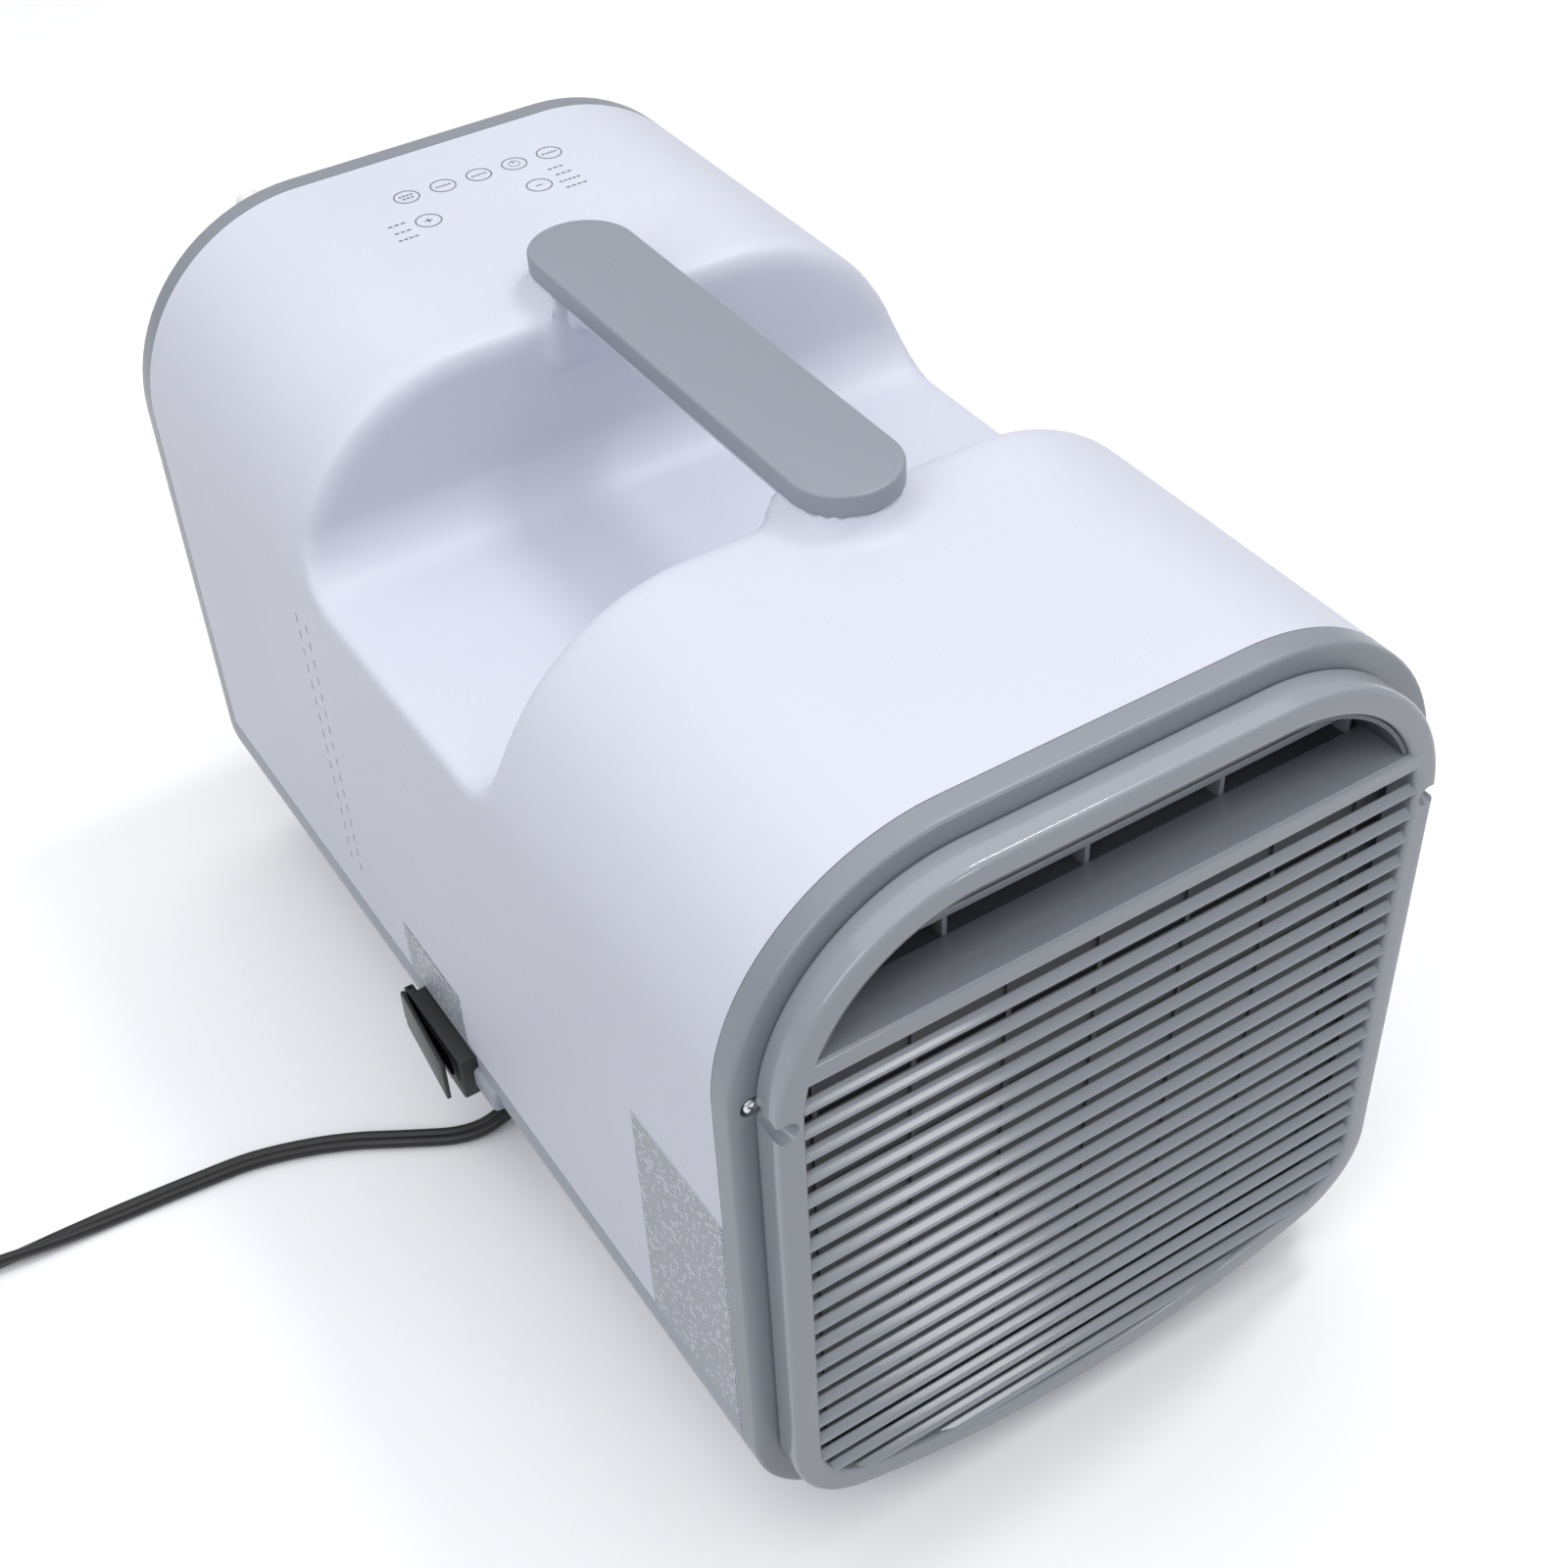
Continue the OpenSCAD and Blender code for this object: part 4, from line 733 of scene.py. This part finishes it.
# printed ink: flat, dull and hardly raised
touch_ink = moulded("printed grey ink", "#757984", "#6e727d", (0.4, 0.5), 0.9, 0.004)
ink_t, key_outer, key_inner = 0.12, 5.8, 5.2
circle = bpy.data.meshes.new("circle")
n = 48
circle.from_pydata([(r*math.cos(a), r*math.sin(a), z)
                    for r, z in ((key_outer, 0), (key_outer, ink_t), (key_inner, ink_t),
                                 (key_inner, 0)) for a in around(n)], [],
                   [(i*n + k, i*n + (k + 1) % n, (i + 1) % 4*n + (k + 1) % n, (i + 1) % 4*n + k)
                    for i in range(4) for k in range(n)])
key_at = [(-25.3, 437.8), (-8.1, 437.6), (9, 437.3), (26.1, 437), (43.3, 437), (-26.8, 413.3),
          (25.7, 412.9)]
power_at, plus_at, minus_at = key_at[3], key_at[5], key_at[6]
touch_rings = repeated("touch_rings", circle, [(x, y, top_z) for x, y in key_at + [power_at]],
                       touch_ink, [(1, 1, 1)]*len(key_at) + [(0.45, 0.45, 1)])
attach(touch_rings, "case")


def dashes(x0, x1, y, count):
    """A row of short printed bars, as (x, y, width, height)"""
    each = (x1 - x0)/count
    return [(x0 + (k + 0.5)*each, y, 0.66*each, 1.0) for k in range(count)]


marks = [(*plus_at, 3.4, 0.6), (*plus_at, 0.6, 3.4), (*minus_at, 3.2, 0.6),
         (power_at[0], 438.8, 0.6, 2.4)]
marks += dashes(-28.8, -21.8, 439, 4) + dashes(-28.2, -22.4, 436.4, 3)
for x, y in (key_at[1], key_at[2], key_at[4]):
    marks += dashes(x - 3.8, x + 3.8, y, 5)
for x0, x1, y, count in ((34.9, 42.9, 423, 3), (35.3, 43.6, 416.6, 3), (33.7, 44.3, 410, 5),
                         (33.6, 44.4, 403.8, 4), (-44, -35.3, 417.5, 3), (-44, -35.9, 410.7, 3),
                         (-45.2, -35.4, 404.3, 4)):
    marks += dashes(x0, x1, y, count)
printed = repeated("touch_marks", block(1, 1, ink_t),
                   [(x, y, top_z + ink_t/2) for x, y, w, h in marks], touch_ink,
                   [(w, h, 1) for x, y, w, h in marks])
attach(printed, "case")

# ---- Screws ----
# Plated pan-head screws with a cross recess hold the panel and the collar. Each
# stands at its own turn, as screws do.

# bright zinc: small sharp glints on the dome and dark lines in the cross
plated, tree, shader = new_material("bright zinc-plated steel")
spot = node(tree, "ShaderNodeTexCoord").outputs["Object"]
grit = node(tree, "ShaderNodeTexNoise", {"Scale": 2500.0, "Detail": 3.0}, Vector=spot)
dull = node(tree, "ShaderNodeMapRange", {"To Min": 0.16, "To Max": 0.32}, Value=grit.outputs["Fac"])
shader.inputs["Base Color"].default_value = linear("#d3d5d8")
shader.inputs["Metallic"].default_value = 1.0
tree.links.new(dull.outputs["Result"], shader.inputs["Roughness"])


def screw_head(r, h):
    """A domed head that faces the front, with a cross cut into it"""
    work = bmesh.new()
    tip, last = work.verts.new((0, -h, 0)), None
    dome = [(r*math.sin(a), -h*math.cos(a)**0.7) for a in np.linspace(0.3, 1.45, 6)] + [(r, 0)]
    for wide, y in dome:
        loop = [work.verts.new((wide*math.cos(a), y, wide*math.sin(a))) for a in around(32)]
        for k in range(32):
            after = (k + 1) % 32
            work.faces.new((tip, loop[k], loop[after]) if last is None
                           else (last[k], loop[k], loop[after], last[after]))
        last = loop
    work.faces.new(last[::-1])
    bmesh.ops.recalc_face_normals(work, faces=work.faces)
    mesh = bpy.data.meshes.new("head")
    work.to_mesh(mesh)
    work.free()
    head = bpy.data.objects.new("head", mesh)
    scene.collection.objects.link(head)
    for w, t in ((r*1.3, r*0.3), (r*0.3, r*1.3)):
        arm = bpy.data.objects.new("arm", block(w, h*1.4, t))
        arm.data.transform(Matrix.Translation((0, -h, 0)))
        scene.collection.objects.link(arm)
        cut_by(head, arm)
    mesh = head.data
    bpy.data.objects.remove(head)
    return mesh


panel_screws = repeated("panel_screw_heads", screw_head(3.1, 2.2),
                        [(side*screw_at[0], -8.6, screw_at[1]) for side in (-1, 1)],
                        plated, turn=(0, 3, 0), sharp=50)
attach(panel_screws, "case")
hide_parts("panel_screws")

# ---- Power inlet and flap ----
# A black nylon socket housing with a round-ended recess, and the sprung cover
# that swings on a steel pin at its rear edge.

# black nylon: dark, with a soft light line on every rounded edge
black_nylon = moulded("black moulded nylon", "#1a1b1c", "#131415", (0.34, 0.46), 0.8, 0.03)
housing = repeated("inlet_housing", block(18, inlet_len, inlet_h, 1.0, 3),
                   [(-144, *inlet_mid)], black_nylon)
bore_r, bore_straight = 6.5, 10.5
bore_half = bore_r + bore_straight
bore_line = [(bore_straight*(1 if math.cos(a - math.pi/2) > 0 else -1) + bore_r*math.sin(a),
              bore_r*math.cos(a)) for a in around(48, 0.001)]


def bore_loop(x, wider):
    """The recess's outline at a depth, made wider all round"""
    return [(x, inlet_mid[0] + u*(bore_half + wider)/bore_half,
             inlet_mid[1] + v*(bore_r + wider)/bore_r) for u, v in bore_line]


cut_by(housing, loft("recess", [bore_loop(-156, 0.0), bore_loop(-138, 0.0)], black_nylon))
lip_profile = [(-150, 0.0), (-153.1, 0.0), (-153.1, 1.2), (-152.3, 1.8), (-150, 1.8)]
lip = loft("inlet_lip", [bore_loop(x, wider) for x, wider in lip_profile], black_nylon,
           round_trip=True)
hinge_x, hinge_y, flap_w, flap_reach, knuckle_h = -150.8, 264.6, 22, 49, 15.2
ears = repeated("hinge_ears", block(4.4, 7, 3, 0.8, 3),
                [(hinge_x, hinge_y - 1.6, z) for z in (inlet_top - 1.5, inlet_top - inlet_h + 1.5)],
                black_nylon)
for made in (housing, lip, ears):
    smooth(made.data)
    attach(made, "case")
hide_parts("inlet_socket")
# the flap's pieces are made on the pin, turned to their rest angle and set on the hinge
swing = Matrix.Rotation(math.radians(-5), 4, "Z")
flap = repeated("flap_cover", block(2, flap_reach, flap_w, 0.7, 3), [(0, 0, 0)], black_nylon)
knuckle = repeated("flap_knuckle", block(4.4, 4.4, knuckle_h, 1.2, 4), [(0, 0, 0)], black_nylon)
arm = repeated("flap_arm", block(4.6, 4.2, knuckle_h, 0.5, 2), [(0, 0, 0)], black_nylon)
for made, shift in ((flap, (-3.6, -flap_reach/2, 0)), (knuckle, (0, 0, 0)), (arm, (-2.1, 0, 0))):
    made.data.transform(Matrix.Translation(-home))
    made.data.transform(Matrix.Translation(Vector(shift)/1000))
    made.data.transform(swing)
    made.data.transform(Matrix.Translation(home + Vector((hinge_x, hinge_y, inlet_mid[1]))/1000))
    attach(made, "flap")
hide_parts("inlet_flap")

# ---- Exhaust collar ----
# A grey ABS ring screwed to the rear panel takes the warm air duct. Four screws
# hold its flange.
collar_x, collar_z, collar_screw_r = 38, 168.225, 67
collar_profile = [(59.5, 484), (59.5, 514.4), (60.2, 515), (61.3, 515), (62, 514.4), (62, 487.6),
                  (62.6, 487), (71.4, 487), (72, 486.4), (72, 484)]
collar = loft("exhaust_ring",
              [[(collar_x + r*math.cos(a), y, collar_z + r*math.sin(a)) for a in around(96)]
               for r, y in collar_profile], ring_abs, round_trip=True)
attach(collar, "case")
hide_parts("exhaust_collar")
head = screw_head(3.2, 1.9)
head.transform(Matrix.Rotation(math.pi, 4, "Z"))
collar_heads = repeated("collar_screw_heads", head,
                        [(collar_x + collar_screw_r*math.cos(a), 487,
                          collar_z + collar_screw_r*math.sin(a))
                         for a in np.radians((45, 135, 225, 315))],
                        plated, turn=(0, 3, 0), sharp=50)
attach(collar_heads, "case")
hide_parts("collar_screws")

# ---- Drain spout ----
# A milky vinyl nozzle stands out of the rear panel; a soft hose pushes over it
# up to a flange.

# soft vinyl: off-white with a half gloss
vinyl = moulded("milky moulded vinyl", "#f0f0f0", "#e6e6e6", (0.3, 0.42), 1.0, 0.02)
spout_x, spout_z = -72, 323.225
nozzle = [(4, 467), (4, 508.4), (4.5, 509), (5.4, 509), (6, 508.2), (6, 482.2), (6.3, 481.4),
          (8.6, 481), (9, 480.6), (9, 478.4), (6, 478), (6, 467)]
spout = loft("spout_nozzle",
             [[(spout_x + r*math.cos(a), y, spout_z + r*math.sin(a)) for a in around(96)[::2]]
              for r, y in nozzle], vinyl, round_trip=True)
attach(spout, "case")
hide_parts("drain_spout")

# ---- Labels ----
# Two labels of silver-grey film on the left side keep their CAD solids. Rows of
# short bars, with no letters, stand for print.

# metallised polyester: smooth and even, half gloss
label_film, tree, shader = new_material("silver-grey polyester label")
spot = node(tree, "ShaderNodeTexCoord").outputs["Object"]
parts = node(tree, "ShaderNodeSeparateXYZ", Vector=spot)
line_at = node(tree, "ShaderNodeMath", {"operation": "MULTIPLY", 1: 1000/2.6},
               i0=parts.outputs["Z"])
line_part = node(tree, "ShaderNodeMath", {"operation": "FRACT"}, i0=line_at.outputs[0])
line_on = node(tree, "ShaderNodeMath", {"operation": "LESS_THAN", 1: 0.5}, i0=line_part.outputs[0])
row = node(tree, "ShaderNodeMath", {"operation": "FLOOR"}, i0=line_at.outputs[0])
row_step = node(tree, "ShaderNodeMath", {"operation": "MULTIPLY", 1: 0.0137}, i0=row.outputs[0])
row_place = node(tree, "ShaderNodeCombineXYZ", Y=parts.outputs["Y"], Z=row_step.outputs[0])
words = node(tree, "ShaderNodeTexNoise", {"Scale": 1000/2.4, "Detail": 1.0},
             Vector=row_place.outputs[0])
word_on = node(tree, "ShaderNodeMath", {"operation": "GREATER_THAN", 1: 0.43},
               i0=words.outputs["Fac"])
ink_on = node(tree, "ShaderNodeMath", {"operation": "MULTIPLY"}, i0=line_on.outputs[0],
              i1=word_on.outputs[0])
ink = node(tree, "ShaderNodeMix",
           {"data_type": "RGBA", 6: linear("#b3b6bf"), 7: linear("#70747d")},
           i0=ink_on.outputs[0])
shader.inputs["Roughness"].default_value = 0.34
shader.inputs["IOR"].default_value = 1.58
tree.links.new(ink.outputs[2], shader.inputs["Base Color"])

# ---- What shows through the gaps, and the parts inside ----
# The CAD solids stay as they are and take the finish of the real part: enamelled
# cans, drawn copper, finned aluminium, zinc-plated sheet, board and rubber.


def metal(name, light, dark, gloss, scale, stretch=(1, 1, 1)):
    """Bare or plated metal with a drawn or rolled grain"""
    made, tree, shader = new_material(name)
    spot = node(tree, "ShaderNodeTexCoord").outputs["Object"]
    drawn = node(tree, "ShaderNodeMapping", {"Scale": stretch}, Vector=spot)
    grain = node(tree, "ShaderNodeTexNoise", {"Scale": 1000/scale, "Detail": 4.0},
                 Vector=drawn.outputs["Vector"])
    tone = node(tree, "ShaderNodeMix", {"data_type": "RGBA", 6: linear(dark), 7: linear(light)},
                i0=grain.outputs["Fac"])
    dull = node(tree, "ShaderNodeMapRange", {"To Min": gloss[0], "To Max": gloss[1]},
                Value=grain.outputs["Fac"])
    shader.inputs["Metallic"].default_value = 1.0
    tree.links.new(tone.outputs[2], shader.inputs["Base Color"])
    tree.links.new(dull.outputs["Result"], shader.inputs["Roughness"])
    return made


# thin aluminium fins stood side by side: light stripes for the fins and dark stripes of painted shade in
# the gaps between them, half metal gloss
fins, tree, shader = new_material("stacked aluminium fins with painted gap shade")
spot = node(tree, "ShaderNodeTexCoord").outputs["Object"]
stack = node(tree, "ShaderNodeTexWave",
             {"wave_type": "BANDS", "bands_direction": "X", "Scale": 90.0}, Vector=spot)
# the dark stripe colour is painted shade between the fins, the light one the fins' edges
fin_and_painted_gap_shade = node(tree, "ShaderNodeMix",
                {"data_type": "RGBA", 6: linear("#5f6266"), 7: linear("#c9ccd0")},
                i0=stack.outputs["Fac"])
fin_relief = node(tree, "ShaderNodeBump", {"Strength": 0.8, "Distance": 0.001},
                  Height=stack.outputs["Fac"])
shader.inputs["Metallic"].default_value = 1.0
shader.inputs["Roughness"].default_value = 0.38
tree.links.new(fin_and_painted_gap_shade.outputs[2], shader.inputs["Base Color"])
tree.links.new(fin_relief.outputs["Normal"], shader.inputs["Normal"])

# rubber and foam are dull, plated steel is grey and streaked, drawn copper and turned
# brass shine along their run, enamel is glossy and the board has a thin green lacquer
rubber = moulded("black moulded rubber", "#1f1f21", "#161618", (0.6, 0.75), 0.8, 0.05, 1.52)
zinc = metal("zinc-plated sheet steel", "#c3c6ca", "#a9adb2", (0.3, 0.45), 12)
copper = metal("drawn copper tube", "#c98a63", "#a9663f", (0.22, 0.4), 6)
brass = metal("turned brass", "#cdaa62", "#b08c45", (0.2, 0.34), 3, (1, 8, 1))
enamel = moulded("black stove enamel", "#1d1d1f", "#141416", (0.2, 0.3), 4.0, 0.02, 1.5)
board_lacquer = moulded("green solder-masked board", "#2c6b42", "#205534", (0.25, 0.36), 2.0,
                        0.03, 1.55)
foam = moulded("white expanded foam board", "#ececea", "#dededc", (0.8, 0.92), 3.0, 0.2, 1.5)
# the duct and net finishes carry their painted shade onto the CAD parts that show through the gaps
finish_of = {"duct_plastic": duct_abs_and_painted_shade, "steel": plated, "filter_mesh": net_nylon_and_painted_shade,
             "board": board_lacquer, "label_film": label_film, "socket_plastic": black_nylon,
             "brass": brass, "cord_pvc": cord_pvc, "foot_rubber": rubber, "galvanised": zinc,
             "black_enamel": enamel, "fin_aluminium": fins, "copper": copper, "foam": foam,
             "hose_vinyl": vinyl, "panel_plastic": ring_abs, "shell_plastic": shell_abs,
             "tray_plastic": tray_abs, "grip_plastic": grip_abs}
for part in frame["record"]["subparts"]:
    solid_part = frame["nodes"][part["node"]]
    solid_part.data.materials.clear()
    solid_part.data.materials.append(finish_of[part["material_slot"]])
